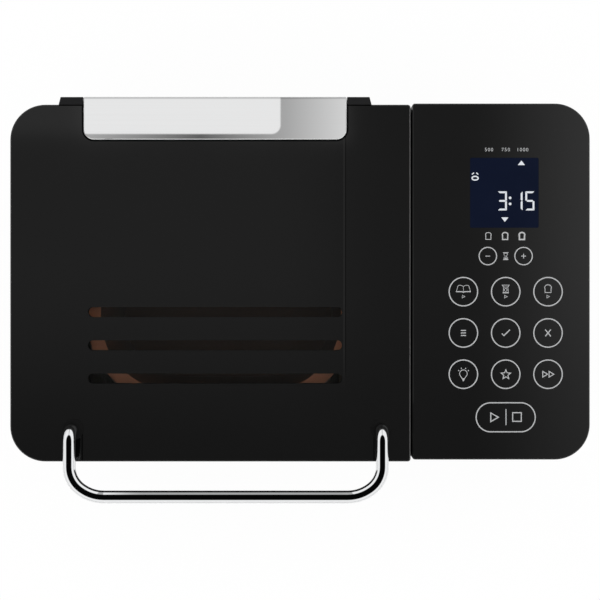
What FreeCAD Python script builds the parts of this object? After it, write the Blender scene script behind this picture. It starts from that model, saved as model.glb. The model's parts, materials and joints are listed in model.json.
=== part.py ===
import FreeCAD, Part
import math
import os

V = FreeCAD.Vector

# Whole machine in millimetres: X to the right, Y to the rear, Z up from the table
BODY_W = 396.0
BODY_D = 244.6
LID_TOP = 283.0
CORNER_R = 24.0
SEAM_CORNER_R = 2.0
CONSOLE_W = 121.4
SEAM_GAP = 1.0
HANDLE_REACH = 26.3
LUG_REACH = 4.4
LID_REAR_SETBACK = 0.8
CONSOLE_FRONT_SETBACK = 1.3

# Clearances: fixed pieces that slip together, pieces that move, shafts in bores
FIT = 0.1
RUN = 0.4
SHAFT_FIT = 0.05

# Heights of the stacked parts of the case
FOOT_H = 6.0
PLINTH_H = 16.0
PLINTH_CHAMFER = 3.0
DRIVE_BAY_H = 48.0
DECK_T = 10.0
LID_GAP = 1.0
LID_H = 36.0
GLASS_T = 4.0
GLASS_CHAMFER = 0.8

# Walls and insets from the outline of the lid and console
WRAP_INSET = 1.5
WRAP_T = 1.0
WRAP_RETURN = 10.0
DECK_INSET = 1.0
PLASTIC_T = 2.5
SHEET_T = 1.0
TONGUE_H = 9.0

# Vents in the wrap, the rear panel and the base
VENT_W = 3.0
VENT_PITCH = 8.0
VENT_COUNT = 8
VENT_L = 42.0
VENT_DROP = 40.0
REAR_STRIP_W = 8.0

# Feet and cord gland
FOOT_R = 11.0
FOOT_INSET = 34.0
FOOT_STEM_R = 3.0
GLAND_BORE_R = 3.6
GLAND_R = 7.0
GLAND_FLANGE_R = 10.5
GLAND_FLANGE_T = 3.0
GLAND_INSET = 70.0
GLAND_Z = 52.0

# Oven: air between the lid outline and the inside of the chamber
SIDE_AIR = 28.0
SEAM_AIR = 21.6
FRONT_AIR = 19.4
REAR_AIR = 29.2
CHAMBER_R = 6.0
CHAMBER_FLANGE = 7.0

# Bread pan, its bail and its foot
PAN_GAP_SIDE = 22.0
PAN_GAP_FRONT = 23.0
PAN_STAND = 18.0
PAN_DROP = 32.0
PAN_T = 2.0
PAN_TAPER = 5.0
PAN_R = 55.0
PAN_FLANGE = 8.0
BAIL_R = 2.5
BAIL_GAP = 2.0
BAIL_BEND = 30.0
BAIL_PIVOT_R = 1.8
BAIL_EYE_W = 4.0
BAIL_LUG_W = 9.0
SEAT_H = 12.0
SEAT_R = 44.0
SEAT_WALL = 8.0
FOOT_RING_WALL = 5.5

# Drive from the motor to the paddle
MOTOR_INSET = 52.0
STANDOFF_H = 14.0
STANDOFF_R = 6.0
FRAME_T = 3.0
POST_R = 5.0
SCREW_R = 1.9
SCREW_HEAD_R = 3.6
SCREW_HEAD_H = 2.4
SCREW_L = 10.0
PULLEY_R = 48.0
PULLEY_W = 10.0
PULLEY_DROP = 8.0
MOTOR_PULLEY_R = 9.0
PULLEY_FLANGE = 3.0
FLANGE_T = 1.0
BELT_W = 9.0
BELT_T = 1.6
BELT_GAP = 0.3
HUB_WALL = 6.0
SHAFT_R = 5.0
MOTOR_SHAFT_R = 4.0
PADDLE_SHAFT_R = 4.0
BEARING_R = 13.0
PEG_R = 3.5
PEG_REACH = 10.0
ARM_W = 11.0
COUPLING_T = 5.0
STACK_W = 74.0
STACK_H = 28.0
STACK_CORNER_R = 6.0
BELL_H = 20.0
BELL_R = 35.0
ROTOR_R = 17.5
AIR_GAP = 0.5
WINDING_H = 9.0
WINDING_T = 10.0
CAPACITOR_R = 16.0
CAPACITOR_H = 58.0

# Paddle
PADDLE_HUB_R = 9.0
PADDLE_HUB_H = 24.0
PADDLE_L = 42.0
PADDLE_H = 34.0
PADDLE_T = 4.0
PADDLE_SLOPE = 12.0

# Heater, probe and lamp in the chamber
HEATER_R = 3.3
HEATER_Z = 14.0
HEATER_WALL_GAP = 12.0
HEATER_BEND = 26.0
HEATER_SPREAD = 24.0
HEATER_TAIL = 16.0
BUSHING_R = 6.0
BUSHING_L = 5.0
CLIP_W = 10.0
PROBE_R = 3.0
PROBE_L = 12.0
PROBE_Z = 52.0
PROBE_OFFSET = 55.0
LAMP_R = 11.0
LAMP_DROP = 18.0
LAMP_CUP_L = 17.0
LAMP_RIM = 2.5
LAMP_PROUD = 1.5
BULB_R = 6.5

# Lid
FRAME_WALL = 3.0
FRAME_FLANGE = 16.0
FRAME_FLANGE_T = 3.0
BOSS_R = 3.5
BOSS_INSET = 7.5
LINER_RISE = 13.0
RECESS_SIDE = 6.0
RECESS_FRONT = 4.0
RECESS_REAR = 38.0
RECESS_R = 28.0
WINDOW_INSET = 10.0
WINDOW_LAP = 5.0
WINDOW_T = 3.0
SEAL_OFFSET = 3.0
SEAL_W = 5.0
SHIELD_T = 1.2
SHIELD_INSET = 12.0
SLOT_L = 174.7
SLOT_H = 6.9
SLOT_PITCH = 22.7
SLOT_COUNT = 3
SLOT_FRONT = 56.7

# Handle
HANDLE_R = 4.3
HANDLE_LIFT = 18.0
HANDLE_CUT_W = 14.8
HANDLE_CUT_D = 10.8
HANDLE_CUT_STRAIGHT = 0.4
HANDLE_LEG_SHARE = 0.525
LEG_LEFT_INSET = 42.9
LEG_RIGHT_INSET = 20.25
LEG_BEND = 7.4
LEG_SETBACK = 21.9
LEG_SINK = 12.0
LEG_BOSS_R = 8.5
GROMMET_WALL = 1.6
GROMMET_LIP = 1.2
GROMMET_LIP_H = 0.9

# Lid hinge
HINGE_INSET = 2.2
HINGE_RISE = 5.0
HINGE_PIN_R = 2.0
KNUCKLE_R = 5.0
KNUCKLE_W = 6.0
LUG_W = 16.6
LUG_DEPTH = 9.0
LUG_TAPER = 1.4
NOSE_RISE = 6.0
BRACKET_FOOT_L = 18.0
BRACKET_FOOT_W = 15.0
BRACKET_FOOT_H = 6.0

# Dispenser
DISPENSER_W = 179.6
DISPENSER_D = 29.0
DISPENSER_R = 7.0
DISPENSER_GAP = 0.5
DISPENSER_LID_T = 4.2
DISPENSER_LID_CHAMFER = 0.4
DISPENSER_PIN_R = 1.2
DISPENSER_PIN_INSET = 2.2
DISPENSER_PIN_DROP = 2.4
DISPENSER_PIN_L = 5.0
BARREL_R = 2.2
BUCKET_WALL = 2.2
BUCKET_SHOULDER = 14.0
BUCKET_SILL = 4.5
BUCKET_REAR_DROP = 2.5
FLAP_D = 31.0
FLAP_T = 2.0
FLAP_RISE = 2.4
FLAP_PIN_R = 1.2
COLLAR_T = 2.0

# Console and its boards
LEDGE_W = 7.0
LEDGE_T = 3.0
DISPLAY_W = 46.8
DISPLAY_D = 47.8
DISPLAY_R = 1.0
DISPLAY_INSET = 58.4
DISPLAY_REAR = 61.0
MODULE_MARGIN = 3.0
MODULE_T = 6.0
TOUCH_GAP = 1.2
BOARD_T = 1.6
BOARD_EDGE = 1.5
KEY_R = 7.5
KEY_PITCH = 28.9
KEY_ROWS = 3
KEY_COLUMNS = 3
ADJUST_R = 5.5
ADJUST_PITCH = 24.3
ADJUST_DROP = 19.3
ADJUST_STEP = 24.4
START_W = 38.0
START_D = 18.0
START_FRONT = 30.4
START_STEP = 29.2
POWER_BOARD_GAP = 8.0
POWER_BOARD_Z = 34.0
POWER_POST_R = 4.0
TRANSFORMER_W = 38.0
TRANSFORMER_D = 32.0
TRANSFORMER_H = 28.0
RELAY_W = 14.0
RELAY_H = 16.0
FILTER_R = 6.0
FILTER_H = 22.0

# Planes that follow from the sizes above
LEFT = -BODY_W / 2
RIGHT = BODY_W / 2
FRONT = HANDLE_REACH - (HANDLE_REACH + BODY_D + LUG_REACH) / 2
REAR = FRONT + BODY_D
BACK = REAR + LUG_REACH
CONSOLE_LEFT = RIGHT - CONSOLE_W
LID_RIGHT = CONSOLE_LEFT - SEAM_GAP
LID_REAR = REAR - LID_REAR_SETBACK
CONSOLE_FRONT = FRONT + CONSOLE_FRONT_SETBACK
GLASS_BASE = LID_TOP - GLASS_T
LID_BASE = LID_TOP - LID_H
DECK_TOP = LID_BASE - LID_GAP
DECK_BASE = DECK_TOP - DECK_T
LEDGE = FOOT_H + PLINTH_H
BASE_FLOOR = FOOT_H + PLASTIC_T
TONGUE_INSET = WRAP_INSET + WRAP_T + FIT
REAR_HALF_W = BODY_W / 2 - CORNER_R - WRAP_RETURN
OVEN_LEFT = LEFT + SIDE_AIR
OVEN_RIGHT = LID_RIGHT - SEAM_AIR
OVEN_FRONT = FRONT + FRONT_AIR
OVEN_REAR = REAR - REAR_AIR
OVEN_X = (OVEN_LEFT + OVEN_RIGHT) / 2
OVEN_Y = (OVEN_FRONT + OVEN_REAR) / 2
OVEN_FLOOR = LEDGE + DRIVE_BAY_H
FRAME_TOP = OVEN_FLOOR - SHEET_T - STANDOFF_H
FRAME_BASE = FRAME_TOP - FRAME_T
PULLEY_TOP = FRAME_BASE - PULLEY_DROP
PULLEY_BASE = PULLEY_TOP - PULLEY_W
MOTOR_X = CONSOLE_LEFT + MOTOR_INSET
PAN_HALF_W = (OVEN_RIGHT - OVEN_LEFT) / 2 - PAN_GAP_SIDE
PAN_HALF_D = (OVEN_REAR - OVEN_FRONT) / 2 - PAN_GAP_FRONT
PAN_BASE = OVEN_FLOOR + PAN_STAND
PAN_RIM = DECK_BASE - PAN_DROP
PAN_CORNER = min(PAN_R, PAN_HALF_D - SHEET_T)
BAIL_Z = PAN_RIM - PAN_T - BAIL_PIVOT_R - RUN
BAIL_ARM = PAN_HALF_W + PAN_FLANGE + BAIL_GAP + BAIL_R
HINGE_Y = LID_REAR - HINGE_INSET
HINGE_Z = LID_BASE + HINGE_RISE
PLATE_LEFT = OVEN_X - DISPENSER_W / 2
PLATE_RIGHT = OVEN_X + DISPENSER_W / 2
PLATE_FRONT = BACK - DISPENSER_D
PLATE_BASE = GLASS_BASE + RUN
WELL_LEFT = PLATE_LEFT - DISPENSER_GAP
WELL_RIGHT = PLATE_RIGHT + DISPENSER_GAP
WELL_FRONT = PLATE_FRONT - DISPENSER_GAP
PLATE_PIN_Y = BACK - DISPENSER_PIN_INSET
PLATE_PIN_Z = LID_TOP - DISPENSER_PIN_DROP
LINER_TOP = LID_BASE + SHEET_T
NOSE_BASE = HINGE_Z + NOSE_RISE
BUCKET_SILL_Z = LINER_TOP + BUCKET_SILL
BUCKET_SHOULDER_Z = BUCKET_SILL_Z + BUCKET_SHOULDER
BUCKET_REAR = BACK - DISPENSER_GAP
COLLAR_BASE = BUCKET_SHOULDER_Z + BUCKET_WALL + RUN
LEG_BOSS_BASE = GLASS_BASE - LEG_SINK - PLASTIC_T
FLAP_REAR = OVEN_REAR
FLAP_FRONT = FLAP_REAR - FLAP_D
FLAP_PIN_Y = FLAP_REAR - BARREL_R - RUN
FLAP_PIN_Z = LINER_TOP + FLAP_RISE
LEG_Y = FRONT + LEG_SETBACK
LEG_XS = (LEFT + LEG_LEFT_INSET, LID_RIGHT - LEG_RIGHT_INSET)
BOARD_TOP = GLASS_BASE - TOUCH_GAP
BODY_OUTLINE = (LEFT, RIGHT, FRONT, REAR)
LID_OUTLINE = (LEFT, LID_RIGHT, FRONT, LID_REAR)
LID_CORNERS = (CORNER_R, SEAM_CORNER_R, SEAM_CORNER_R, CORNER_R)
CONSOLE_OUTLINE = (CONSOLE_LEFT, RIGHT, CONSOLE_FRONT, REAR)
CONSOLE_CORNERS = (SEAM_CORNER_R, CORNER_R, CORNER_R, SEAM_CORNER_R)
OVEN_OUTLINE = (OVEN_LEFT, OVEN_RIGHT, OVEN_FRONT, OVEN_REAR)


def box(x0, x1, y0, y1, z0, z1):
    """Square block between six planes."""
    return Part.makeBox(x1 - x0, y1 - y0, z1 - z0, V(x0, y0, z0))


def pin(x, y, z0, z1, radius):
    """Upright cylinder."""
    return Part.makeCylinder(radius, z1 - z0, V(x, y, z0))


def pin_x(x0, x1, y, z, radius):
    """Cylinder along X."""
    return Part.makeCylinder(radius, x1 - x0, V(x0, y, z), V(1, 0, 0))


def pin_y(x, y0, y1, z, radius):
    """Cylinder along Y."""
    return Part.makeCylinder(radius, y1 - y0, V(x, y0, z), V(0, 1, 0))


def tube(x, y, z0, z1, outer, inner):
    """Upright sleeve."""
    return pin(x, y, z0, z1, outer).cut(pin(x, y, z0, z1, inner))


def outline_wire(outline, corners, z):
    """Rectangle at height z with rounded corners: front left, front right, rear right, rear left."""
    x0, x1, y0, y1 = outline
    front_left, front_right, rear_right, rear_left = corners
    turn = 1 - math.sqrt(0.5)
    arcs = [
        (V(x0, y0 + front_left, z), V(x0 + front_left, y0, z),
         V(x0 + turn * front_left, y0 + turn * front_left, z)),
        (V(x1 - front_right, y0, z), V(x1, y0 + front_right, z),
         V(x1 - turn * front_right, y0 + turn * front_right, z)),
        (V(x1, y1 - rear_right, z), V(x1 - rear_right, y1, z),
         V(x1 - turn * rear_right, y1 - turn * rear_right, z)),
        (V(x0 + rear_left, y1, z), V(x0, y1 - rear_left, z),
         V(x0 + turn * rear_left, y1 - turn * rear_left, z)),
    ]
    edges = []
    for index, (start, end, middle) in enumerate(arcs):
        edges.append(Part.Arc(start, middle, end).toShape())
        following = arcs[(index + 1) % len(arcs)][0]
        edges.append(Part.LineSegment(end, following).toShape())
    return Part.Wire(edges)


def inset(outline, distance):
    """The same rectangle drawn in on every side."""
    x0, x1, y0, y1 = outline
    return (x0 + distance, x1 - distance, y0 + distance, y1 - distance)


def slab(outline, z0, z1, corners, drawn_in=0.0):
    """Plate with rounded corners, drawn in from its outline."""
    if not isinstance(corners, tuple):
        corners = (corners,) * 4
    smallest = SEAM_CORNER_R / 2
    rounded = tuple(max(corner - drawn_in, smallest) for corner in corners)
    wire = outline_wire(inset(outline, drawn_in), rounded, z0)
    return Part.Face(wire).extrude(V(0, 0, z1 - z0))


def prism_x(points, x0, x1):
    """Polygon in the Y-Z plane stretched along X."""
    corners = [V(x0, y, z) for y, z in points]
    wire = Part.makePolygon(corners + corners[:1])
    return Part.Face(wire).extrude(V(x1 - x0, 0, 0))


def prism_z(points, z0, z1):
    """Polygon in the X-Y plane stretched upward."""
    corners = [V(x, y, z0) for x, y in points]
    wire = Part.makePolygon(corners + corners[:1])
    return Part.Face(wire).extrude(V(0, 0, z1 - z0))


def rod(points, bends, radius):
    """Round bar through the points, with an arc of the given radius at each inner point."""
    edges = []
    start = points[0]
    for before, corner, after, bend in zip(points, points[1:], points[2:], bends):
        back = (before - corner).normalize()
        ahead = (after - corner).normalize()
        half = back.getAngle(ahead) / 2
        reach = bend / math.tan(half)
        first = corner + back * reach
        last = corner + ahead * reach
        middle = corner + (back + ahead).normalize() * (bend / math.sin(half) - bend)
        edges.append(Part.LineSegment(start, first).toShape())
        edges.append(Part.Arc(first, middle, last).toShape())
        start = last
    edges.append(Part.LineSegment(start, points[-1]).toShape())
    section = Part.Wire([Part.makeCircle(radius, points[0], points[1] - points[0])])
    return Part.Wire(edges).makePipeShell([section], True, False)


def bevelled(shape, z, size):
    """Bevel the edges that lie at height z."""
    edges = [edge for edge in shape.Edges
             if abs(edge.BoundBox.ZMin - z) < FIT and abs(edge.BoundBox.ZMax - z) < FIT]
    return shape.makeChamfer(size, edges)


def joined(shapes):
    """One solid from overlapping or touching solids."""
    return shapes[0].multiFuse(shapes[1:]).removeSplitter()


def group(shapes):
    """Separate solids kept together."""
    return Part.makeCompound(shapes)


def wall_slots(count, pitch, make):
    """Evenly spaced cutters, centred on zero."""
    return [make((index - (count - 1) / 2) * pitch) for index in range(count)]


def frame_post_places():
    """Where the drive frame stands on the base: round the pulley and beside the motor."""
    side = PULLEY_R + BELT_GAP + BELT_T + POST_R + RUN
    ends = (OVEN_X - side, (OVEN_X + MOTOR_X) / 2, MOTOR_X + side / 2)
    return [(x, OVEN_Y + sign * side) for x in ends for sign in (-1, 1)]


def power_board_outline():
    """Board behind the motor, between the frame posts and the rear panel."""
    posts = max(y for _, y in frame_post_places())
    front = posts + POST_R + POWER_BOARD_GAP
    rear = REAR - TONGUE_INSET - PLASTIC_T - POWER_BOARD_GAP
    return (CONSOLE_LEFT + POWER_BOARD_GAP, RIGHT - CORNER_R, front, rear)


def power_post_places():
    """Corners of the power board."""
    x0, x1, y0, y1 = inset(power_board_outline(), POWER_POST_R)
    return [(x, y) for x in (x0, x1) for y in (y0, y1)]


def foot_places():
    """Corners of the base where the feet stand."""
    x0, x1, y0, y1 = inset(BODY_OUTLINE, FOOT_INSET)
    return [(x, y) for x in (x0, x1) for y in (y0, y1)]


def rear_gap(z0, z1):
    """Room for the rear panel in the tongues of the base and the deck."""
    reach = REAR_HALF_W + REAR_STRIP_W + RUN
    depth = WRAP_INSET + PLASTIC_T + PLASTIC_T + TONGUE_INSET
    return box(-reach, reach, REAR - depth, REAR, z0, z1)


def base_pan():
    """Tray with a plinth, a tongue inside the wrap, floor vents and posts."""
    tongue_top = LEDGE + TONGUE_H
    plinth = bevelled(slab(BODY_OUTLINE, FOOT_H, LEDGE, CORNER_R, WRAP_INSET), FOOT_H, PLINTH_CHAMFER)
    tongue = slab(BODY_OUTLINE, LEDGE, tongue_top, CORNER_R, TONGUE_INSET)
    hollow = slab(BODY_OUTLINE, BASE_FLOOR, tongue_top, CORNER_R, TONGUE_INSET + PLASTIC_T)
    tray = plinth.fuse(tongue).cut(hollow).cut(rear_gap(LEDGE, tongue_top))
    posts = [pin(x, y, FOOT_H, FRAME_BASE, POST_R) for x, y in frame_post_places()]
    board_z = BASE_FLOOR + POWER_BOARD_Z
    posts += [pin(x, y, FOOT_H, board_z, POWER_POST_R) for x, y in power_post_places()]
    hole_r = SCREW_R + FIT
    cuts = [pin(x, y, FRAME_BASE - SCREW_L, FRAME_BASE, hole_r) for x, y in frame_post_places()]
    cuts += [pin(x, y, FOOT_H, BASE_FLOOR, FOOT_STEM_R + FIT) for x, y in foot_places()]
    for centre in (OVEN_X, MOTOR_X):
        cuts += wall_slots(VENT_COUNT, VENT_PITCH, lambda step: box(
            centre + step - VENT_W / 2, centre + step + VENT_W / 2,
            OVEN_Y - VENT_L / 2, OVEN_Y + VENT_L / 2, FOOT_H, BASE_FLOOR))
    return joined([tray] + posts).cut(group(cuts))


def rubber_feet():
    """Four feet, each with a stem in the base."""
    feet = []
    for x, y in foot_places():
        pad = pin(x, y, 0, FOOT_H, FOOT_R)
        stem = pin(x, y, FOOT_H, BASE_FLOOR, FOOT_STEM_R)
        feet.append(joined([pad, stem]))
    return group(feet)


def body_wrap():
    """Steel sheet round the left, front and right, returning past the rear corners."""
    outer = slab(BODY_OUTLINE, LEDGE, DECK_BASE, CORNER_R, WRAP_INSET)
    inner = slab(BODY_OUTLINE, LEDGE, DECK_BASE, CORNER_R, WRAP_INSET + WRAP_T)
    opening = box(-REAR_HALF_W, REAR_HALF_W, OVEN_REAR, REAR, LEDGE, DECK_BASE)
    top = DECK_BASE - VENT_DROP
    vents = wall_slots(VENT_COUNT, VENT_PITCH, lambda step: box(
        LEFT, LEFT + CORNER_R, OVEN_Y + step - VENT_W / 2, OVEN_Y + step + VENT_W / 2, top - VENT_L, top))
    return outer.cut(inner).cut(opening).cut(group(vents))


def gland_place():
    """Where the cord enters the rear panel."""
    return RIGHT - GLAND_INSET, GLAND_Z


def rear_panel():
    """Plastic back between the ends of the wrap, with strips behind them, vents and the gland hole."""
    face = REAR - WRAP_INSET
    panel = box(-REAR_HALF_W + FIT, REAR_HALF_W - FIT, face - PLASTIC_T, face, LEDGE, DECK_BASE)
    strip_face = REAR - TONGUE_INSET
    strips = []
    for sign in (-1, 1):
        x0 = sign * REAR_HALF_W - REAR_STRIP_W
        x1 = x0 + REAR_STRIP_W + REAR_STRIP_W
        strips.append(box(x0, x1, strip_face - PLASTIC_T, strip_face, LEDGE, DECK_BASE))
    top = DECK_BASE - VENT_DROP
    gland_x, gland_z = gland_place()
    cuts = [pin_y(gland_x, face - PLASTIC_T, face, gland_z, GLAND_R + FIT)]
    for centre in (OVEN_X, MOTOR_X):
        cuts += wall_slots(VENT_COUNT, VENT_PITCH, lambda step: box(
            centre + step - VENT_W / 2, centre + step + VENT_W / 2,
            face - PLASTIC_T, face, top - VENT_L, top))
    return joined([panel] + strips).cut(group(cuts))


def cord_gland():
    """Flanged bush in the rear panel for a round flex."""
    face = REAR - WRAP_INSET
    x, z = gland_place()
    barrel = pin_y(x, face - PLASTIC_T - GLAND_FLANGE_T, face, z, GLAND_R)
    flange = pin_y(x, face, face + GLAND_FLANGE_T, z, GLAND_FLANGE_R)
    bore = pin_y(x, face - PLASTIC_T - GLAND_FLANGE_T, face + GLAND_FLANGE_T, z, GLAND_BORE_R)
    return joined([barrel, flange]).cut(bore)


def lug_spans():
    """Left and right edges of the two hinge lugs beside the dispenser."""
    return [(WELL_LEFT - LUG_W, WELL_LEFT), (WELL_RIGHT, WELL_RIGHT + LUG_W)]


def bracket_foot(x, clearance):
    """Foot of a hinge bracket, let into the deck."""
    half = BRACKET_FOOT_W / 2 + clearance
    return box(x - half, x + half, HINGE_Y - BRACKET_FOOT_L - clearance, HINGE_Y - HINGE_PIN_R + clearance,
               DECK_TOP - BRACKET_FOOT_H, DECK_TOP)


def top_deck():
    """Plate under the lid and console, with the oven mouth and a tongue inside the wrap."""
    tongue_base = DECK_BASE - TONGUE_H
    plate = slab(BODY_OUTLINE, DECK_BASE, DECK_TOP, CORNER_R, DECK_INSET)
    tongue = slab(BODY_OUTLINE, tongue_base, DECK_BASE, CORNER_R, TONGUE_INSET).cut(
        slab(BODY_OUTLINE, tongue_base, DECK_BASE, CORNER_R, TONGUE_INSET + PLASTIC_T))
    tongue = tongue.cut(rear_gap(tongue_base, DECK_BASE))
    mouth = slab(OVEN_OUTLINE, DECK_BASE, DECK_TOP, CHAMBER_R)
    wiring = slab(CONSOLE_OUTLINE, DECK_BASE, DECK_TOP, CONSOLE_CORNERS, PLASTIC_T + LEDGE_W)
    pockets = [bracket_foot((x0 + x1) / 2, FIT) for x0, x1 in lug_spans()]
    return joined([plate, tongue]).cut(group([mouth, wiring] + pockets))


def hinge_brackets():
    """Two steel brackets on the deck, each with a knuckle on the hinge axis."""
    brackets = []
    for x0, x1 in lug_spans():
        x = (x0 + x1) / 2
        half = KNUCKLE_W / 2
        upright = box(x - half, x + half, HINGE_Y - KNUCKLE_R, HINGE_Y - HINGE_PIN_R, DECK_TOP, HINGE_Z)
        knuckle = pin_x(x - half, x + half, HINGE_Y, HINGE_Z, KNUCKLE_R)
        bore = pin_x(x - half, x + half, HINGE_Y, HINGE_Z, HINGE_PIN_R + SHAFT_FIT)
        brackets.append(joined([bracket_foot(x, 0), upright, knuckle]).cut(bore))
    return group(brackets)


def console_housing():
    """Hollow box on the right of the deck, with a ledge for the control glass."""
    case = slab(CONSOLE_OUTLINE, DECK_TOP, GLASS_BASE, CONSOLE_CORNERS)
    hollow = slab(CONSOLE_OUTLINE, DECK_TOP, GLASS_BASE - LEDGE_T, CONSOLE_CORNERS, PLASTIC_T)
    opening = slab(CONSOLE_OUTLINE, DECK_TOP, GLASS_BASE, CONSOLE_CORNERS, PLASTIC_T + LEDGE_W)
    return case.cut(hollow).cut(opening)


def display_outline():
    """Display window in the control glass."""
    x = RIGHT - DISPLAY_INSET
    y = REAR - DISPLAY_REAR
    return (x - DISPLAY_W / 2, x + DISPLAY_W / 2, y - DISPLAY_D / 2, y + DISPLAY_D / 2)


def panel_glass():
    """Control glass with the display window."""
    pane = bevelled(slab(CONSOLE_OUTLINE, GLASS_BASE, LID_TOP, CONSOLE_CORNERS), LID_TOP, GLASS_CHAMFER)
    return pane.cut(slab(display_outline(), GLASS_BASE, LID_TOP, DISPLAY_R))


def display_lens():
    """Clear lens flush in the control glass."""
    return slab(display_outline(), GLASS_BASE, LID_TOP, DISPLAY_R, FIT)


def display_module():
    """Display behind its lens, let into the touch board."""
    outline = inset(display_outline(), -MODULE_MARGIN)
    return slab(outline, GLASS_BASE - MODULE_T, GLASS_BASE, DISPLAY_R)


def adjust_y():
    """Line of the two adjusting keys in front of the display."""
    return display_outline()[2] - ADJUST_DROP


def key_rows():
    """Lines of the printed keys, from the start key to the adjusting keys."""
    first = FRONT + START_FRONT + START_STEP
    last = adjust_y() - ADJUST_STEP
    pitch = (last - first) / (KEY_ROWS - 1)
    return [first + row * pitch for row in range(KEY_ROWS)]


def touch_board():
    """Circuit board under the control glass, cut out for the display, with its chips below."""
    edge = PLASTIC_T + LEDGE_W + BOARD_EDGE
    board = slab(CONSOLE_OUTLINE, BOARD_TOP - BOARD_T, BOARD_TOP, CONSOLE_CORNERS, edge)
    x = RIGHT - DISPLAY_INSET
    chips = []
    for y in key_rows():
        chips.append(box(x - KEY_R, x + KEY_R, y - KEY_R, y + KEY_R,
                         BOARD_TOP - BOARD_T - BOARD_T, BOARD_TOP - BOARD_T))
    hole = slab(inset(display_outline(), -MODULE_MARGIN - FIT), BOARD_TOP - BOARD_T, BOARD_TOP, DISPLAY_R)
    return joined([board] + chips).cut(hole)


def touch_pads():
    """Sensing pads between the touch board and the glass, one under each printed key."""
    x = RIGHT - DISPLAY_INSET
    pads = []
    for along in key_rows():
        for column in range(KEY_COLUMNS):
            across = x + (column - (KEY_COLUMNS - 1) / 2) * KEY_PITCH
            pads.append(pin(across, along, BOARD_TOP, GLASS_BASE, KEY_R))
    for sign in (-1, 1):
        pads.append(pin(x + sign * ADJUST_PITCH / 2, adjust_y(), BOARD_TOP, GLASS_BASE, ADJUST_R))
    y = FRONT + START_FRONT
    start = (x - START_W / 2, x + START_W / 2, y - START_D / 2, y + START_D / 2)
    pads.append(slab(start, BOARD_TOP, GLASS_BASE, START_D / 2 - FIT))
    return group(pads)


def power_board():
    """Circuit board on the posts of the base."""
    z = BASE_FLOOR + POWER_BOARD_Z
    return slab(power_board_outline(), z, z + BOARD_T, SEAM_CORNER_R)


def power_components():
    """Transformer, relay and filter capacitors standing on the power board."""
    x0, x1, y0, y1 = inset(power_board_outline(), POWER_POST_R + POWER_POST_R)
    z = BASE_FLOOR + POWER_BOARD_Z + BOARD_T
    middle = (y0 + y1) / 2
    half = TRANSFORMER_D / 2
    transformer = box(x0, x0 + TRANSFORMER_W, middle - half, middle + half, z, z + TRANSFORMER_H)
    relay = box(x1 - RELAY_W, x1, middle - RELAY_W, middle + RELAY_W, z, z + RELAY_H)
    between = (x0 + TRANSFORMER_W + x1 - RELAY_W) / 2
    filter_ys = (middle - FILTER_R - RUN, middle + FILTER_R + RUN)
    filters = [pin(between, y, z, z + FILTER_H, FILTER_R) for y in filter_ys]
    return group([transformer, relay] + filters)


def standoff_places():
    """Where the chamber stands on the drive frame."""
    reach = PULLEY_R - STANDOFF_R
    return [(OVEN_X + a * reach, OVEN_Y + b * reach) for a in (-1, 1) for b in (-1, 1)]


def drive_frame():
    """Steel plate that carries the chamber, the shaft bearing and the motor."""
    places = frame_post_places()
    xs = [x for x, _ in places]
    ys = [y for _, y in places]
    outline = (min(xs) - POST_R, max(xs) + POST_R, min(ys) - POST_R, max(ys) + POST_R)
    plate = slab(outline, FRAME_BASE, FRAME_TOP, POST_R)
    cuts = [pin(x, y, FRAME_BASE, FRAME_TOP, SCREW_R + FIT) for x, y in places]
    cuts.append(pin(OVEN_X, OVEN_Y, FRAME_BASE, FRAME_TOP, SHAFT_R + HUB_WALL))
    cuts.append(pin(MOTOR_X, OVEN_Y, FRAME_BASE, FRAME_TOP, MOTOR_SHAFT_R + PULLEY_FLANGE))
    return plate.cut(group(cuts))


def screw(x, y, seat, head_h, tip):
    """Screw whose head lies on the seat plane, on the side away from the tip."""
    away = head_h if tip < seat else -head_h
    head = pin(x, y, min(seat, seat + away), max(seat, seat + away), SCREW_HEAD_R)
    shank = pin(x, y, min(seat, tip), max(seat, tip), SCREW_R)
    return joined([head, shank])


def frame_screws():
    """Screws that hold the drive frame on its posts."""
    tip = FRAME_BASE - SCREW_L + RUN
    return group([screw(x, y, FRAME_TOP, SCREW_HEAD_H, tip) for x, y in frame_post_places()])


def chamber_standoffs():
    """Four spacers between the drive frame and the chamber floor."""
    return group([pin(x, y, FRAME_TOP, OVEN_FLOOR - SHEET_T, STANDOFF_R) for x, y in standoff_places()])


def lamp_place():
    """Centre of the lamp hole, at the rear end of the chamber's flat right wall."""
    return OVEN_REAR - CHAMBER_R - LAMP_R - LAMP_RIM - RUN, DECK_BASE - LAMP_DROP


def heater_ys():
    """Where the two ends of the heater leave the chamber."""
    return (OVEN_Y - HEATER_SPREAD / 2, OVEN_Y + HEATER_SPREAD / 2)


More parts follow.
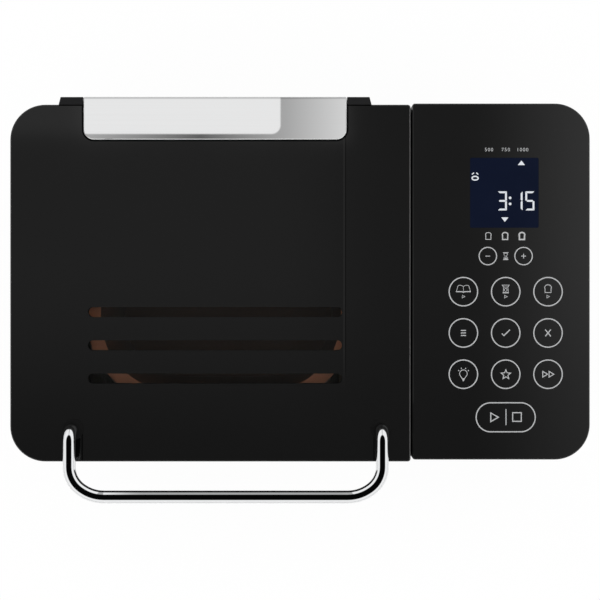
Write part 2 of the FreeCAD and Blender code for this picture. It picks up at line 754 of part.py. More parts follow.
def oven_chamber():
    """Sheet steel tub with a flange under the deck and holes for shaft, heater, probe and lamp."""
    outer = slab(OVEN_OUTLINE, OVEN_FLOOR - SHEET_T, DECK_BASE, CHAMBER_R, -SHEET_T)
    flange = slab(OVEN_OUTLINE, DECK_BASE - SHEET_T, DECK_BASE, CHAMBER_R, -CHAMBER_FLANGE)
    inner = slab(OVEN_OUTLINE, OVEN_FLOOR, DECK_BASE, CHAMBER_R)
    lamp_y, lamp_z = lamp_place()
    wall = OVEN_RIGHT + SHEET_T
    cuts = [pin(OVEN_X, OVEN_Y, OVEN_FLOOR - SHEET_T, OVEN_FLOOR, SHAFT_R + PEG_R)]
    cuts.append(pin_x(OVEN_RIGHT, wall, lamp_y, lamp_z, LAMP_R + FIT))
    probe_x = OVEN_X + PROBE_OFFSET
    cuts.append(pin_y(probe_x, OVEN_FRONT - SHEET_T, OVEN_FRONT, OVEN_FLOOR + PROBE_Z, PROBE_R + FIT))
    for y in heater_ys():
        cuts.append(pin_x(OVEN_RIGHT, wall, y, OVEN_FLOOR + HEATER_Z, HEATER_R + BELT_GAP))
    return joined([outer, flange]).cut(inner).cut(group(cuts))


def heater_element():
    """Tube bent round the foot of the pan, with both ends through the right wall."""
    near_y, far_y = heater_ys()
    x0, _, y0, y1 = inset(OVEN_OUTLINE, HEATER_WALL_GAP)
    tail = OVEN_RIGHT + HEATER_TAIL
    turn = OVEN_RIGHT - HEATER_BEND
    plan = [(tail, near_y), (turn, near_y), (turn, y0), (x0, y0),
            (x0, y1), (turn, y1), (turn, far_y), (tail, far_y)]
    points = [V(x, y, OVEN_FLOOR + HEATER_Z) for x, y in plan]
    corner = HEATER_BEND / 2
    return rod(points, (corner, corner, HEATER_BEND, HEATER_BEND, corner, corner), HEATER_R)


def heater_bushings():
    """Ceramic sleeves where the heater passes the wall."""
    z = OVEN_FLOOR + HEATER_Z
    start = OVEN_RIGHT + SHEET_T
    sleeves = []
    for y in heater_ys():
        sleeve = pin_x(start, start + BUSHING_L, y, z, BUSHING_R)
        sleeves.append(sleeve.cut(pin_x(start, start + BUSHING_L, y, z, HEATER_R + SHAFT_FIT)))
    return group(sleeves)


def heater_brackets():
    """Three clips on the chamber floor that cradle the heater."""
    x0, _, y0, y1 = inset(OVEN_OUTLINE, HEATER_WALL_GAP)
    z = OVEN_FLOOR + HEATER_Z
    half = CLIP_W / 2
    reach = HEATER_R + SHEET_T
    clips = []
    for y in (y0, y1):
        cradle = box(OVEN_X - half, OVEN_X + half, y - reach, y + reach, OVEN_FLOOR, z)
        clips.append(cradle.cut(pin_x(OVEN_X - half, OVEN_X + half, y, z, HEATER_R + SHAFT_FIT)))
    cradle = box(x0 - reach, x0 + reach, OVEN_Y - half, OVEN_Y + half, OVEN_FLOOR, z)
    clips.append(cradle.cut(pin_y(x0, OVEN_Y - half, OVEN_Y + half, z, HEATER_R + SHAFT_FIT)))
    return group(clips)


def temperature_probe():
    """Probe through the front wall, with a nut outside."""
    x = OVEN_X + PROBE_OFFSET
    z = OVEN_FLOOR + PROBE_Z
    outside = OVEN_FRONT - SHEET_T
    stem = pin_y(x, outside - PROBE_R, OVEN_FRONT + PROBE_L, z, PROBE_R)
    nut = pin_y(x, outside - PROBE_R, outside, z, PROBE_R + PROBE_R)
    return joined([stem, nut])


def lamp_lens():
    """Glass in the lamp hole, with a rim outside the wall."""
    y, z = lamp_place()
    wall = OVEN_RIGHT + SHEET_T
    plug = pin_x(OVEN_RIGHT - LAMP_PROUD, wall, y, z, LAMP_R)
    rim = pin_x(wall, wall + LAMP_RIM, y, z, LAMP_R + LAMP_RIM)
    return joined([plug, rim])


def lamp_holder():
    """Cup behind the lens."""
    y, z = lamp_place()
    start = OVEN_RIGHT + SHEET_T + LAMP_RIM
    cup = pin_x(start, start + LAMP_CUP_L, y, z, LAMP_R + LAMP_RIM)
    return cup.cut(pin_x(start, start + LAMP_CUP_L - PLASTIC_T, y, z, LAMP_R))


def lamp_bulb():
    """Small bulb on the floor of the cup."""
    y, z = lamp_place()
    end = OVEN_RIGHT + SHEET_T + LAMP_RIM + LAMP_CUP_L - PLASTIC_T
    globe = Part.makeSphere(BULB_R, V(end - BULB_R, y, z))
    cap = pin_x(end - BULB_R, end, y, z, BULB_R / 2)
    return joined([globe, cap])


def pan_seat():
    """Ring on the chamber floor that the foot of the pan stands on."""
    return tube(OVEN_X, OVEN_Y, OVEN_FLOOR, OVEN_FLOOR + SEAT_H, SEAT_R, SEAT_R - SEAT_WALL)


def shaft_bearing():
    """Flanged bearing between the drive frame and the chamber floor."""
    sleeve = pin(OVEN_X, OVEN_Y, FRAME_TOP, OVEN_FLOOR - SHEET_T, BEARING_R)
    flange = pin(OVEN_X, OVEN_Y, FRAME_TOP, FRAME_TOP + FRAME_T, BEARING_R + HUB_WALL)
    bore = pin(OVEN_X, OVEN_Y, FRAME_TOP, OVEN_FLOOR - SHEET_T, SHAFT_R + SHAFT_FIT)
    return joined([sleeve, flange]).cut(bore)


def coupling_base():
    """Height of the drive coupling above the chamber floor."""
    return OVEN_FLOOR + FRAME_T


def drive_shaft():
    """Upright shaft from the pulley to the drive coupling."""
    return pin(OVEN_X, OVEN_Y, PULLEY_BASE - FLANGE_T, coupling_base() + COUPLING_T, SHAFT_R)


def drive_pulley():
    """Large pulley with a rim, a web and a hub."""
    middle = (PULLEY_BASE + PULLEY_TOP) / 2
    rim = tube(OVEN_X, OVEN_Y, PULLEY_BASE, PULLEY_TOP, PULLEY_R, PULLEY_R - HUB_WALL)
    web = tube(OVEN_X, OVEN_Y, middle - FRAME_T / 2, middle + FRAME_T / 2, PULLEY_R, SHAFT_R + SHAFT_FIT)
    hub_top = PULLEY_TOP + PULLEY_DROP / 2
    hub = tube(OVEN_X, OVEN_Y, PULLEY_BASE, hub_top, SHAFT_R + HUB_WALL, SHAFT_R + SHAFT_FIT)
    return joined([rim, web, hub])


def drive_coupling():
    """Disc on the shaft with two pegs that push the arm under the pan."""
    base = coupling_base()
    disc = tube(OVEN_X, OVEN_Y, base, base + COUPLING_T, PEG_REACH + ARM_W, SHAFT_R + SHAFT_FIT)
    side = ARM_W / 2 + PEG_R + RUN
    top = PAN_BASE - FRAME_T
    pegs = [pin(OVEN_X + sign * PEG_REACH, OVEN_Y + sign * side, base, top, PEG_R) for sign in (-1, 1)]
    return joined([disc] + pegs)


def motor_stator():
    """Laminated stack with a bore for the rotor."""
    z0 = FRAME_TOP + BELL_H
    half = STACK_W / 2
    outline = (MOTOR_X - half, MOTOR_X + half, OVEN_Y - half, OVEN_Y + half)
    return slab(outline, z0, z0 + STACK_H, STACK_CORNER_R).cut(
        pin(MOTOR_X, OVEN_Y, z0, z0 + STACK_H, ROTOR_R + AIR_GAP))


def motor_end_bells():
    """Two cups on the stack that carry the motor shaft."""
    stack_base = FRAME_TOP + BELL_H
    stack_top = stack_base + STACK_H
    bells = []
    for closed, opened in ((FRAME_TOP, stack_base), (stack_top + BELL_H, stack_top)):
        low, high = sorted((closed, opened))
        inward = PLASTIC_T if closed < opened else -PLASTIC_T
        cavity_low, cavity_high = sorted((closed + inward, opened))
        bell = pin(MOTOR_X, OVEN_Y, low, high, BELL_R)
        bell = bell.cut(pin(MOTOR_X, OVEN_Y, cavity_low, cavity_high, BELL_R - PLASTIC_T))
        bells.append(bell.cut(pin(MOTOR_X, OVEN_Y, low, high, MOTOR_SHAFT_R + SHAFT_FIT)))
    return group(bells)


def motor_windings():
    """Copper rings at both ends of the stack."""
    stack_base = FRAME_TOP + BELL_H
    stack_top = stack_base + STACK_H
    inner = ROTOR_R + PLASTIC_T
    spans = ((stack_base - WINDING_H, stack_base), (stack_top, stack_top + WINDING_H))
    return group([tube(MOTOR_X, OVEN_Y, low, high, inner + WINDING_T, inner) for low, high in spans])


def motor_rotor():
    """Rotor drum on the motor shaft."""
    z0 = FRAME_TOP + BELL_H
    return tube(MOTOR_X, OVEN_Y, z0, z0 + STACK_H, ROTOR_R, MOTOR_SHAFT_R + SHAFT_FIT)


def motor_shaft():
    """Shaft through both bells, down to the motor pulley."""
    top = FRAME_TOP + BELL_H + STACK_H + BELL_H
    return pin(MOTOR_X, OVEN_Y, PULLEY_BASE - FLANGE_T, top, MOTOR_SHAFT_R)


def motor_pulley():
    """Small pulley with a flange above and below the belt."""
    hub = pin(MOTOR_X, OVEN_Y, PULLEY_BASE - FLANGE_T, PULLEY_TOP + FLANGE_T, MOTOR_PULLEY_R)
    flange_r = MOTOR_PULLEY_R + PULLEY_FLANGE
    low = pin(MOTOR_X, OVEN_Y, PULLEY_BASE - FLANGE_T, PULLEY_BASE, flange_r)
    high = pin(MOTOR_X, OVEN_Y, PULLEY_TOP, PULLEY_TOP + FLANGE_T, flange_r)
    bore = pin(MOTOR_X, OVEN_Y, PULLEY_BASE - FLANGE_T, PULLEY_TOP + FLANGE_T, MOTOR_SHAFT_R + SHAFT_FIT)
    return joined([hub, low, high]).cut(bore)


def belt_loop(gap, z0, z1):
    """Prism inside a line drawn tight round both pulleys at a gap."""
    large = PULLEY_R + gap
    small = MOTOR_PULLEY_R + gap
    lean = math.asin((large - small) / (MOTOR_X - OVEN_X))
    toward = V(math.sin(lean), math.cos(lean), 0)
    mirrored = V(toward.x, -toward.y, 0)
    drive = V(OVEN_X, OVEN_Y, z0)
    motor = V(MOTOR_X, OVEN_Y, z0)
    corners = (drive + toward * large, motor + toward * small,
               motor + mirrored * small, drive + mirrored * large)
    upper = Part.LineSegment(corners[0], corners[1]).toShape()
    round_motor = Part.Arc(corners[1], motor + V(small, 0, 0), corners[2]).toShape()
    lower = Part.LineSegment(corners[2], corners[3]).toShape()
    round_drive = Part.Arc(corners[3], drive - V(large, 0, 0), corners[0]).toShape()
    return Part.Face(Part.Wire([upper, round_motor, lower, round_drive])).extrude(V(0, 0, z1 - z0))


def drive_belt():
    """Flat belt loop round both pulleys."""
    z0 = (PULLEY_BASE + PULLEY_TOP - BELT_W) / 2
    outer = belt_loop(BELT_GAP + BELT_T, z0, z0 + BELT_W)
    return outer.cut(belt_loop(BELT_GAP, z0, z0 + BELT_W))


def motor_capacitor():
    """Run capacitor standing on the base, midway between its front wall and the drive frame."""
    frame_front = min(y for _, y in frame_post_places()) - POST_R
    wall = FRONT + TONGUE_INSET + PLASTIC_T
    return pin(MOTOR_X, (frame_front + wall) / 2, BASE_FLOOR, BASE_FLOOR + CAPACITOR_H, CAPACITOR_R)


def pan_wire(z, half_w, half_d, corner):
    """Rounded outline of the pan at one height."""
    outline = (OVEN_X - half_w, OVEN_X + half_w, OVEN_Y - half_d, OVEN_Y + half_d)
    return outline_wire(outline, (corner,) * 4, z)


def pan_body(wall, z0):
    """Tapered block of the pan, drawn in by a wall."""
    foot = PAN_TAPER + wall
    low = pan_wire(z0, PAN_HALF_W - foot, PAN_HALF_D - foot, PAN_CORNER - foot)
    high = pan_wire(PAN_RIM, PAN_HALF_W - wall, PAN_HALF_D - wall, PAN_CORNER - wall)
    return Part.makeLoft([low, high], True, True)


def bread_pan():
    """Tapered tin with rounded corners, a flat rim and a hole for the bush."""
    flange_outline = (OVEN_X - PAN_HALF_W, OVEN_X + PAN_HALF_W, OVEN_Y - PAN_HALF_D, OVEN_Y + PAN_HALF_D)
    flange = slab(flange_outline, PAN_RIM - PAN_T, PAN_RIM, PAN_CORNER, -PAN_FLANGE)
    tin = joined([pan_body(0, PAN_BASE), flange]).cut(pan_body(PAN_T, PAN_BASE + PAN_T))
    return tin.cut(pin(OVEN_X, OVEN_Y, PAN_BASE, PAN_BASE + PAN_T, PADDLE_SHAFT_R + HUB_WALL + FIT))


def pan_foot():
    """Foot ring under the pan: a flange on the seat and a spigot inside it."""
    seat_top = OVEN_FLOOR + SEAT_H
    spigot_r = SEAT_R - SEAT_WALL - RUN
    bore = spigot_r - FOOT_RING_WALL
    flange = pin(OVEN_X, OVEN_Y, seat_top, PAN_BASE, SEAT_R)
    spigot = pin(OVEN_X, OVEN_Y, OVEN_FLOOR + RUN, seat_top, spigot_r)
    return joined([flange, spigot]).cut(pin(OVEN_X, OVEN_Y, OVEN_FLOOR + RUN, PAN_BASE, bore))


def pan_bush():
    """Flanged bush in the floor of the pan for the paddle shaft."""
    top = PAN_BASE + PAN_T + PAN_T
    sleeve = pin(OVEN_X, OVEN_Y, PAN_BASE - PAN_T, top, PADDLE_SHAFT_R + HUB_WALL)
    lip = pin(OVEN_X, OVEN_Y, PAN_BASE - PAN_T, PAN_BASE, PADDLE_SHAFT_R + HUB_WALL + PAN_T)
    bore = pin(OVEN_X, OVEN_Y, PAN_BASE - PAN_T, top, PADDLE_SHAFT_R + SHAFT_FIT)
    return joined([sleeve, lip]).cut(bore)


def bail_lugs():
    """Two ears under the rim, each with a pin for the bail."""
    lugs = []
    half = BAIL_LUG_W / 2
    for sign in (-1, 1):
        root = OVEN_X + sign * (PAN_HALF_W + FIT)
        face = OVEN_X + sign * (PAN_HALF_W + PAN_FLANGE)
        end = OVEN_X + sign * (BAIL_ARM + BAIL_R + RUN)
        x0, x1 = sorted((root, face))
        ear = box(x0, x1, OVEN_Y - half, OVEN_Y + half, BAIL_Z - half, PAN_RIM - PAN_T)
        p0, p1 = sorted((root, end))
        lugs.append(joined([ear, pin_x(p0, p1, OVEN_Y, BAIL_Z, BAIL_PIVOT_R)]))
    return group(lugs)


def pan_bail():
    """Wire handle of the pan, folded down round the front of the rim, with an eye on each pin."""
    front = OVEN_Y - PAN_HALF_D - PAN_FLANGE - BAIL_GAP - BAIL_R
    start = OVEN_Y - BAIL_PIVOT_R - BAIL_R / 2
    points = [V(OVEN_X - BAIL_ARM, start, BAIL_Z), V(OVEN_X - BAIL_ARM, front, BAIL_Z),
              V(OVEN_X + BAIL_ARM, front, BAIL_Z), V(OVEN_X + BAIL_ARM, start, BAIL_Z)]
    pieces = [rod(points, (BAIL_BEND, BAIL_BEND), BAIL_R)]
    bores = []
    for sign in (-1, 1):
        x0 = OVEN_X + sign * BAIL_ARM - BAIL_EYE_W / 2
        x1 = x0 + BAIL_EYE_W
        pieces.append(pin_x(x0, x1, OVEN_Y, BAIL_Z, BAIL_PIVOT_R + BAIL_R))
        bores.append(pin_x(x0, x1, OVEN_Y, BAIL_Z, BAIL_PIVOT_R + SHAFT_FIT))
    return joined(pieces).cut(group(bores))


def paddle_base():
    """Underside of the paddle above the bush."""
    return PAN_BASE + PAN_T + PAN_T + RUN


def paddle():
    """Kneading paddle: a hub on the shaft and a sloping blade."""
    z0 = paddle_base()
    hub = pin(OVEN_X, OVEN_Y, z0, z0 + PADDLE_HUB_H, PADDLE_HUB_R)
    start = OVEN_X + PADDLE_SHAFT_R + SHAFT_FIT
    end = OVEN_X + PADDLE_L
    blade_points = [(start, z0), (end, z0), (end - PADDLE_SLOPE, z0 + PADDLE_H), (start, z0 + PADDLE_HUB_H)]
    corners = [V(x, OVEN_Y - PADDLE_T / 2, z) for x, z in blade_points]
    blade = Part.Face(Part.makePolygon(corners + corners[:1])).extrude(V(0, PADDLE_T, 0))
    bore = pin(OVEN_X, OVEN_Y, z0, z0 + PADDLE_HUB_H - PADDLE_T, PADDLE_SHAFT_R + SHAFT_FIT)
    return joined([hub, blade]).cut(bore)


def arm_base():
    """Underside of the arm below the pan."""
    return coupling_base() + COUPLING_T + RUN


def paddle_shaft():
    """Shaft through the bush, from the arm below to the paddle above."""
    return pin(OVEN_X, OVEN_Y, arm_base(), paddle_base() + PADDLE_HUB_H - PADDLE_T, PADDLE_SHAFT_R)


def pan_coupling():
    """Arm under the pan that the pegs of the drive coupling push."""
    z0 = arm_base()
    reach = PEG_REACH + PEG_R
    arm = box(OVEN_X - reach, OVEN_X + reach, OVEN_Y - ARM_W / 2, OVEN_Y + ARM_W / 2, z0, z0 + COUPLING_T)
    return arm.cut(pin(OVEN_X, OVEN_Y, z0, z0 + COUPLING_T, PADDLE_SHAFT_R + SHAFT_FIT))


def boss_places():
    """Screw bosses in the corners of the lid frame."""
    left = LEFT + CORNER_R / 2 + FRAME_WALL / 2
    right = LID_RIGHT - BOSS_INSET
    front = FRONT + BOSS_INSET
    rear = LID_REAR - BOSS_INSET
    offset = left - LEFT
    return [(left, FRONT + offset), (right, front), (right, rear), (left, LID_REAR - offset)]


def lug(x0, x1, outer_sign):
    """Hinge lug: a block in the rear of the lid and a nose that stands out behind it."""
    block = box(x0, x1, HINGE_Y - LUG_DEPTH, LID_REAR, LID_BASE, GLASS_BASE)
    taper_left = LUG_TAPER if outer_sign < 0 else 0
    taper_right = LUG_TAPER if outer_sign > 0 else 0
    nose_plan = [(x0, LID_REAR), (x1, LID_REAR), (x1 - taper_right, BACK), (x0 + taper_left, BACK)]
    return joined([block, prism_z(nose_plan, NOSE_BASE, LID_TOP)])


def lid_frame():
    """Plastic ring under the lid glass, with hinge lugs, bosses and a collar round the dispenser."""
    flange_base = GLASS_BASE - FRAME_FLANGE_T
    ring = slab(LID_OUTLINE, LID_BASE, GLASS_BASE, LID_CORNERS)
    ring = ring.cut(slab(LID_OUTLINE, LID_BASE, flange_base, LID_CORNERS, FRAME_WALL))
    ring = ring.cut(slab(LID_OUTLINE, LID_BASE, GLASS_BASE, LID_CORNERS, FRAME_WALL + FRAME_FLANGE))
    ring = ring.cut(box(WELL_LEFT, WELL_RIGHT, WELL_FRONT, LID_REAR, NOSE_BASE, GLASS_BASE))
    pieces = [ring]
    pieces += [pin(x, y, LINER_TOP, GLASS_BASE, BOSS_R) for x, y in boss_places()]
    pieces += [pin(x, LEG_Y, LEG_BOSS_BASE, GLASS_BASE, LEG_BOSS_R) for x in LEG_XS]
    pieces.append(box(WELL_LEFT - COLLAR_T, WELL_RIGHT + COLLAR_T, WELL_FRONT - COLLAR_T, WELL_FRONT,
                      COLLAR_BASE, GLASS_BASE))
    for edge in (WELL_LEFT - COLLAR_T, WELL_RIGHT):
        pieces.append(box(edge, edge + COLLAR_T, WELL_FRONT, LID_REAR, COLLAR_BASE, GLASS_BASE))
    for (x0, x1), sign in zip(lug_spans(), (-1, 1)):
        pieces.append(lug(x0, x1, sign))
    cuts = []
    for x in LEG_XS:
        cuts.append(pin(x, LEG_Y, GLASS_BASE - LEG_SINK, GLASS_BASE, HANDLE_R + FIT))
        cuts.append(pin(x, LEG_Y, LEG_BOSS_BASE, GLASS_BASE, SCREW_R + FIT))
    for x, y in boss_places():
        cuts.append(pin(x, y, LINER_TOP, LINER_TOP + SCREW_L, SCREW_R + FIT))
    swing = KNUCKLE_R + RUN
    for x0, x1 in lug_spans():
        x = (x0 + x1) / 2
        half = KNUCKLE_W / 2 + RUN
        cuts.append(box(x - half, x + half, HINGE_Y - swing, BACK, LID_BASE, HINGE_Z + swing))
        cuts.append(pin_x(x0, x1, HINGE_Y, HINGE_Z, HINGE_PIN_R))
    reach = DISPENSER_PIN_L + FIT
    cuts.append(pin_x(WELL_LEFT - reach, WELL_RIGHT + reach, PLATE_PIN_Y, PLATE_PIN_Z,
                      DISPENSER_PIN_R + SHAFT_FIT))
    return joined(pieces).cut(group(cuts))


def dispenser_notch(z0, z1):
    """Notch in the glass for the dispenser lid, open to the rear."""
    outline = (WELL_LEFT, WELL_RIGHT, WELL_FRONT, BACK + DISPENSER_R)
    return slab(outline, z0, z1, DISPENSER_R + DISPENSER_GAP)


def lid_glass():
    """Glass over the whole lid, with the dispenser notch and two handle holes."""
    pane = slab(LID_OUTLINE, GLASS_BASE, LID_TOP, LID_CORNERS).cut(dispenser_notch(GLASS_BASE, LID_TOP))
    pane = bevelled(pane, LID_TOP, GLASS_CHAMFER)
    hole_r = HANDLE_R + GROMMET_WALL + FIT
    return pane.cut(group([pin(x, LEG_Y, GLASS_BASE, LID_TOP, hole_r) for x in LEG_XS]))


def slotted_shield():
    """Dark plate under the frame's flange with the three long window slots."""
    top = GLASS_BASE - FRAME_FLANGE_T
    plate = slab(LID_OUTLINE, top - SHIELD_T, top, LID_CORNERS, SHIELD_INSET)
    rear_edge = WELL_FRONT - COLLAR_T - FIT
    cuts = [box(LEFT, LID_RIGHT, rear_edge, BACK, top - SHIELD_T, top)]
    notch_r = LEG_BOSS_R + FIT
    for x in LEG_XS:
        cuts.append(pin(x, LEG_Y, top - SHIELD_T, top, notch_r))
        cuts.append(box(x - notch_r, x + notch_r, FRONT, LEG_Y, top - SHIELD_T, top))
    cuts += [pin(x, y, top - SHIELD_T, top, BOSS_R + FIT) for x, y in boss_places()]
    for index in range(SLOT_COUNT):
        y = FRONT + SLOT_FRONT + index * SLOT_PITCH
        slot = (OVEN_X - SLOT_L / 2, OVEN_X + SLOT_L / 2, y - SLOT_H / 2, y + SLOT_H / 2)
        cuts.append(slab(slot, top - SHIELD_T, top, SLOT_H / 2 - FIT))
    return plate.cut(group(cuts))


def recess_outline():
    """Inside of the raised middle of the liner."""
    return (OVEN_LEFT + RECESS_SIDE, OVEN_RIGHT - RECESS_SIDE,
            OVEN_FRONT + RECESS_FRONT, OVEN_REAR - RECESS_REAR)


def lid_liner():
    """Pressed steel underside of the lid, with a raised window frame and an opening for the trap."""
    top = LINER_TOP + LINER_RISE
    flange = slab(LID_OUTLINE, LID_BASE, LINER_TOP, LID_CORNERS, FRAME_WALL + FIT)
    raised = slab(recess_outline(), LID_BASE, top, RECESS_R, -SHEET_T)
    hollow = slab(recess_outline(), LID_BASE, top - SHEET_T, RECESS_R)
    cuts = [hollow, slab(recess_outline(), LID_BASE, top, RECESS_R, WINDOW_INSET)]
    cuts.append(box(WELL_LEFT + FIT + BUCKET_WALL, WELL_RIGHT - FIT - BUCKET_WALL, FLAP_FRONT, FLAP_REAR,
                    LID_BASE, LINER_TOP))
    cuts += [box(x0 - FIT, x1 + FIT, HINGE_Y - LUG_DEPTH - FIT, LID_REAR, LID_BASE, LINER_TOP)
             for x0, x1 in lug_spans()]
    cuts += [pin(x, y, LID_BASE, LINER_TOP, SCREW_R + FIT) for x, y in boss_places()]
    return joined([flange, raised]).cut(group(cuts))


def window_pane():
    """Heat-proof glass over the window of the liner."""
    z0 = LINER_TOP + LINER_RISE
    return slab(recess_outline(), z0, z0 + WINDOW_T, RECESS_R, WINDOW_INSET - WINDOW_LAP)


def lid_seal():
    """Soft ring under the lid, round the oven mouth."""
    outer = slab(OVEN_OUTLINE, DECK_TOP + RUN, LID_BASE, CHAMBER_R, -SEAL_OFFSET - SEAL_W)
    return outer.cut(slab(OVEN_OUTLINE, DECK_TOP + RUN, LID_BASE, CHAMBER_R, -SEAL_OFFSET))


def lid_screws():
    """Screws that hold the liner to the frame and the handle to its bosses."""
    liner_tip = LINER_TOP + SCREW_L - RUN
    handle_tip = GLASS_BASE - LEG_SINK + SCREW_L - RUN
    screws = [screw(x, y, LID_BASE, LID_GAP - RUN, liner_tip) for x, y in boss_places()]
    screws += [screw(x, LEG_Y, LEG_BOSS_BASE, SCREW_HEAD_H, handle_tip) for x in LEG_XS]
    return group(screws)


def handle_bends():
    """Bend radii of a handle corner: the tight one beside the leg and the wide one beside the bar."""
    chord = math.hypot(HANDLE_CUT_W, HANDLE_CUT_D) - HANDLE_CUT_STRAIGHT
    turn = math.atan2(HANDLE_CUT_W, HANDLE_CUT_D)
    leg_reach = chord * HANDLE_LEG_SHARE
    bar_reach = chord - leg_reach
    return leg_reach / math.tan(turn / 2), bar_reach / math.tan(math.pi / 4 - turn / 2)


def handle():
    """Bent chrome rod: two legs up from the lid, forward past its front, and a bar between them."""
    z = LID_TOP + HANDLE_LIFT
    bar_y = FRONT - HANDLE_REACH + HANDLE_R
    left, right = LEG_XS
    foot = GLASS_BASE - LEG_SINK
    corner_y = bar_y + HANDLE_CUT_D
    points = [V(left, LEG_Y, foot), V(left, LEG_Y, z), V(left, corner_y, z),
              V(left + HANDLE_CUT_W, bar_y, z), V(right - HANDLE_CUT_W, bar_y, z),
              V(right, corner_y, z), V(right, LEG_Y, z), V(right, LEG_Y, foot)]
    tight, wide = handle_bends()
    bar = rod(points, (LEG_BEND, tight, wide, wide, tight, LEG_BEND), HANDLE_R)
    holes = [pin(x, LEG_Y, foot, foot + SCREW_L, SCREW_R + FIT) for x in LEG_XS]
    return bar.cut(group(holes))


def handle_grommets():
    """Dark collars in the glass round the legs of the handle."""
    grommets = []
    inner = HANDLE_R + SHAFT_FIT
    for x in LEG_XS:
        sleeve = pin(x, LEG_Y, GLASS_BASE, LID_TOP, HANDLE_R + GROMMET_WALL)
        lip = pin(x, LEG_Y, LID_TOP, LID_TOP + GROMMET_LIP_H, HANDLE_R + GROMMET_WALL + GROMMET_LIP)
        bore = pin(x, LEG_Y, GLASS_BASE, LID_TOP + GROMMET_LIP_H, inner)
        grommets.append(joined([sleeve, lip]).cut(bore))
    return group(grommets)


def hinge_pins():
    """Steel pins through the lugs and the bracket knuckles."""
    return group([pin_x(x0 + FIT, x1 - FIT, HINGE_Y, HINGE_Z, HINGE_PIN_R) for x0, x1 in lug_spans()])


def bucket_profile(wall):
    """Side view of the dispenser bucket: mouth at the rear, sloping forward to the trap over the pan."""
    front = WELL_FRONT + FIT + BUCKET_WALL - wall
    rear = BUCKET_REAR - BUCKET_WALL + wall
    trap_front = FLAP_FRONT - wall
    trap_rear = FLAP_REAR + wall
    return [(front, GLASS_BASE), (front, BUCKET_SHOULDER_Z + wall), (trap_front, BUCKET_SILL_Z + wall),
            (trap_front, LINER_TOP), (trap_rear, LINER_TOP), (trap_rear, BUCKET_SILL_Z - wall / 2),
            (rear, BUCKET_SHOULDER_Z - wall / 2), (rear, GLASS_BASE - BUCKET_REAR_DROP)]


def dispenser_bucket():
    """Open-topped bucket for nuts and seeds, with a trap over the pan and a skirt between the lugs."""
    x0 = WELL_LEFT + FIT
    x1 = WELL_RIGHT - FIT
    skirt = box(x0, x1, BUCKET_REAR - BUCKET_WALL, BUCKET_REAR, NOSE_BASE, BUCKET_SHOULDER_Z)
    shell = joined([prism_x(bucket_profile(BUCKET_WALL), x0, x1), skirt])
    hollow = prism_x(bucket_profile(0), x0 + BUCKET_WALL, x1 - BUCKET_WALL)
    pivot = pin_x(x0, x1, FLAP_PIN_Y, FLAP_PIN_Z, FLAP_PIN_R + SHAFT_FIT)
    return shell.cut(hollow).cut(pivot)


def dispenser_lid():
    """Polished plate over the bucket, hinged along its rear on two trunnions."""
    outline = (PLATE_LEFT, PLATE_RIGHT, PLATE_FRONT, BACK)
    square = SEAM_CORNER_R / 2
    corners = (DISPENSER_R, DISPENSER_R, square, square)
    plate_top = PLATE_BASE + DISPENSER_LID_T
    plate = bevelled(slab(outline, PLATE_BASE, plate_top, corners), plate_top, DISPENSER_LID_CHAMFER)
    barrel = pin_x(PLATE_LEFT, PLATE_RIGHT, PLATE_PIN_Y, PLATE_PIN_Z, BARREL_R)
    reach = DISPENSER_GAP + DISPENSER_PIN_L
    trunnions = pin_x(PLATE_LEFT - reach, PLATE_RIGHT + reach, PLATE_PIN_Y, PLATE_PIN_Z, DISPENSER_PIN_R)
    return joined([plate, barrel, trunnions])


def dispenser_flap():
    """Trap in the floor of the bucket, hinged along its rear."""
    x0 = WELL_LEFT + FIT
    x1 = WELL_RIGHT - FIT
    near = x0 + BUCKET_WALL + RUN
    far = x1 - BUCKET_WALL - RUN
    plate = box(near, far, FLAP_FRONT + RUN, FLAP_PIN_Y, FLAP_PIN_Z - FLAP_T / 2, FLAP_PIN_Z + FLAP_T / 2)
    barrel = pin_x(near, far, FLAP_PIN_Y, FLAP_PIN_Z, BARREL_R)
    return joined([plate, barrel, pin_x(x0 + FIT, x1 - FIT, FLAP_PIN_Y, FLAP_PIN_Z, FLAP_PIN_R)])


NODES = (
    base_pan, rubber_feet, body_wrap, rear_panel, cord_gland, top_deck, hinge_brackets,
    console_housing, panel_glass, display_lens, display_module, touch_board, touch_pads,
    power_board, power_components, drive_frame, frame_screws, chamber_standoffs, oven_chamber,
    heater_element, heater_bushings, heater_brackets, temperature_probe, lamp_lens, lamp_holder,
    lamp_bulb, pan_seat, shaft_bearing, drive_shaft, drive_pulley, drive_coupling, motor_stator,
    motor_end_bells, motor_windings, motor_rotor, motor_shaft, motor_pulley, drive_belt,
    motor_capacitor, bread_pan, pan_foot, pan_bush, bail_lugs, pan_bail, paddle, paddle_shaft,
    pan_coupling, lid_frame, lid_glass, slotted_shield, lid_liner, window_pane, lid_seal,
    lid_screws, handle, handle_grommets, hinge_pins, dispenser_bucket, dispenser_lid, dispenser_flap,
)


def main():
    os.makedirs("parts", exist_ok=True)
    for node in NODES:
        node().exportStep("parts/" + node.__name__ + ".step")


if __name__ == "__main__":
    main()
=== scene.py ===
import json
import math

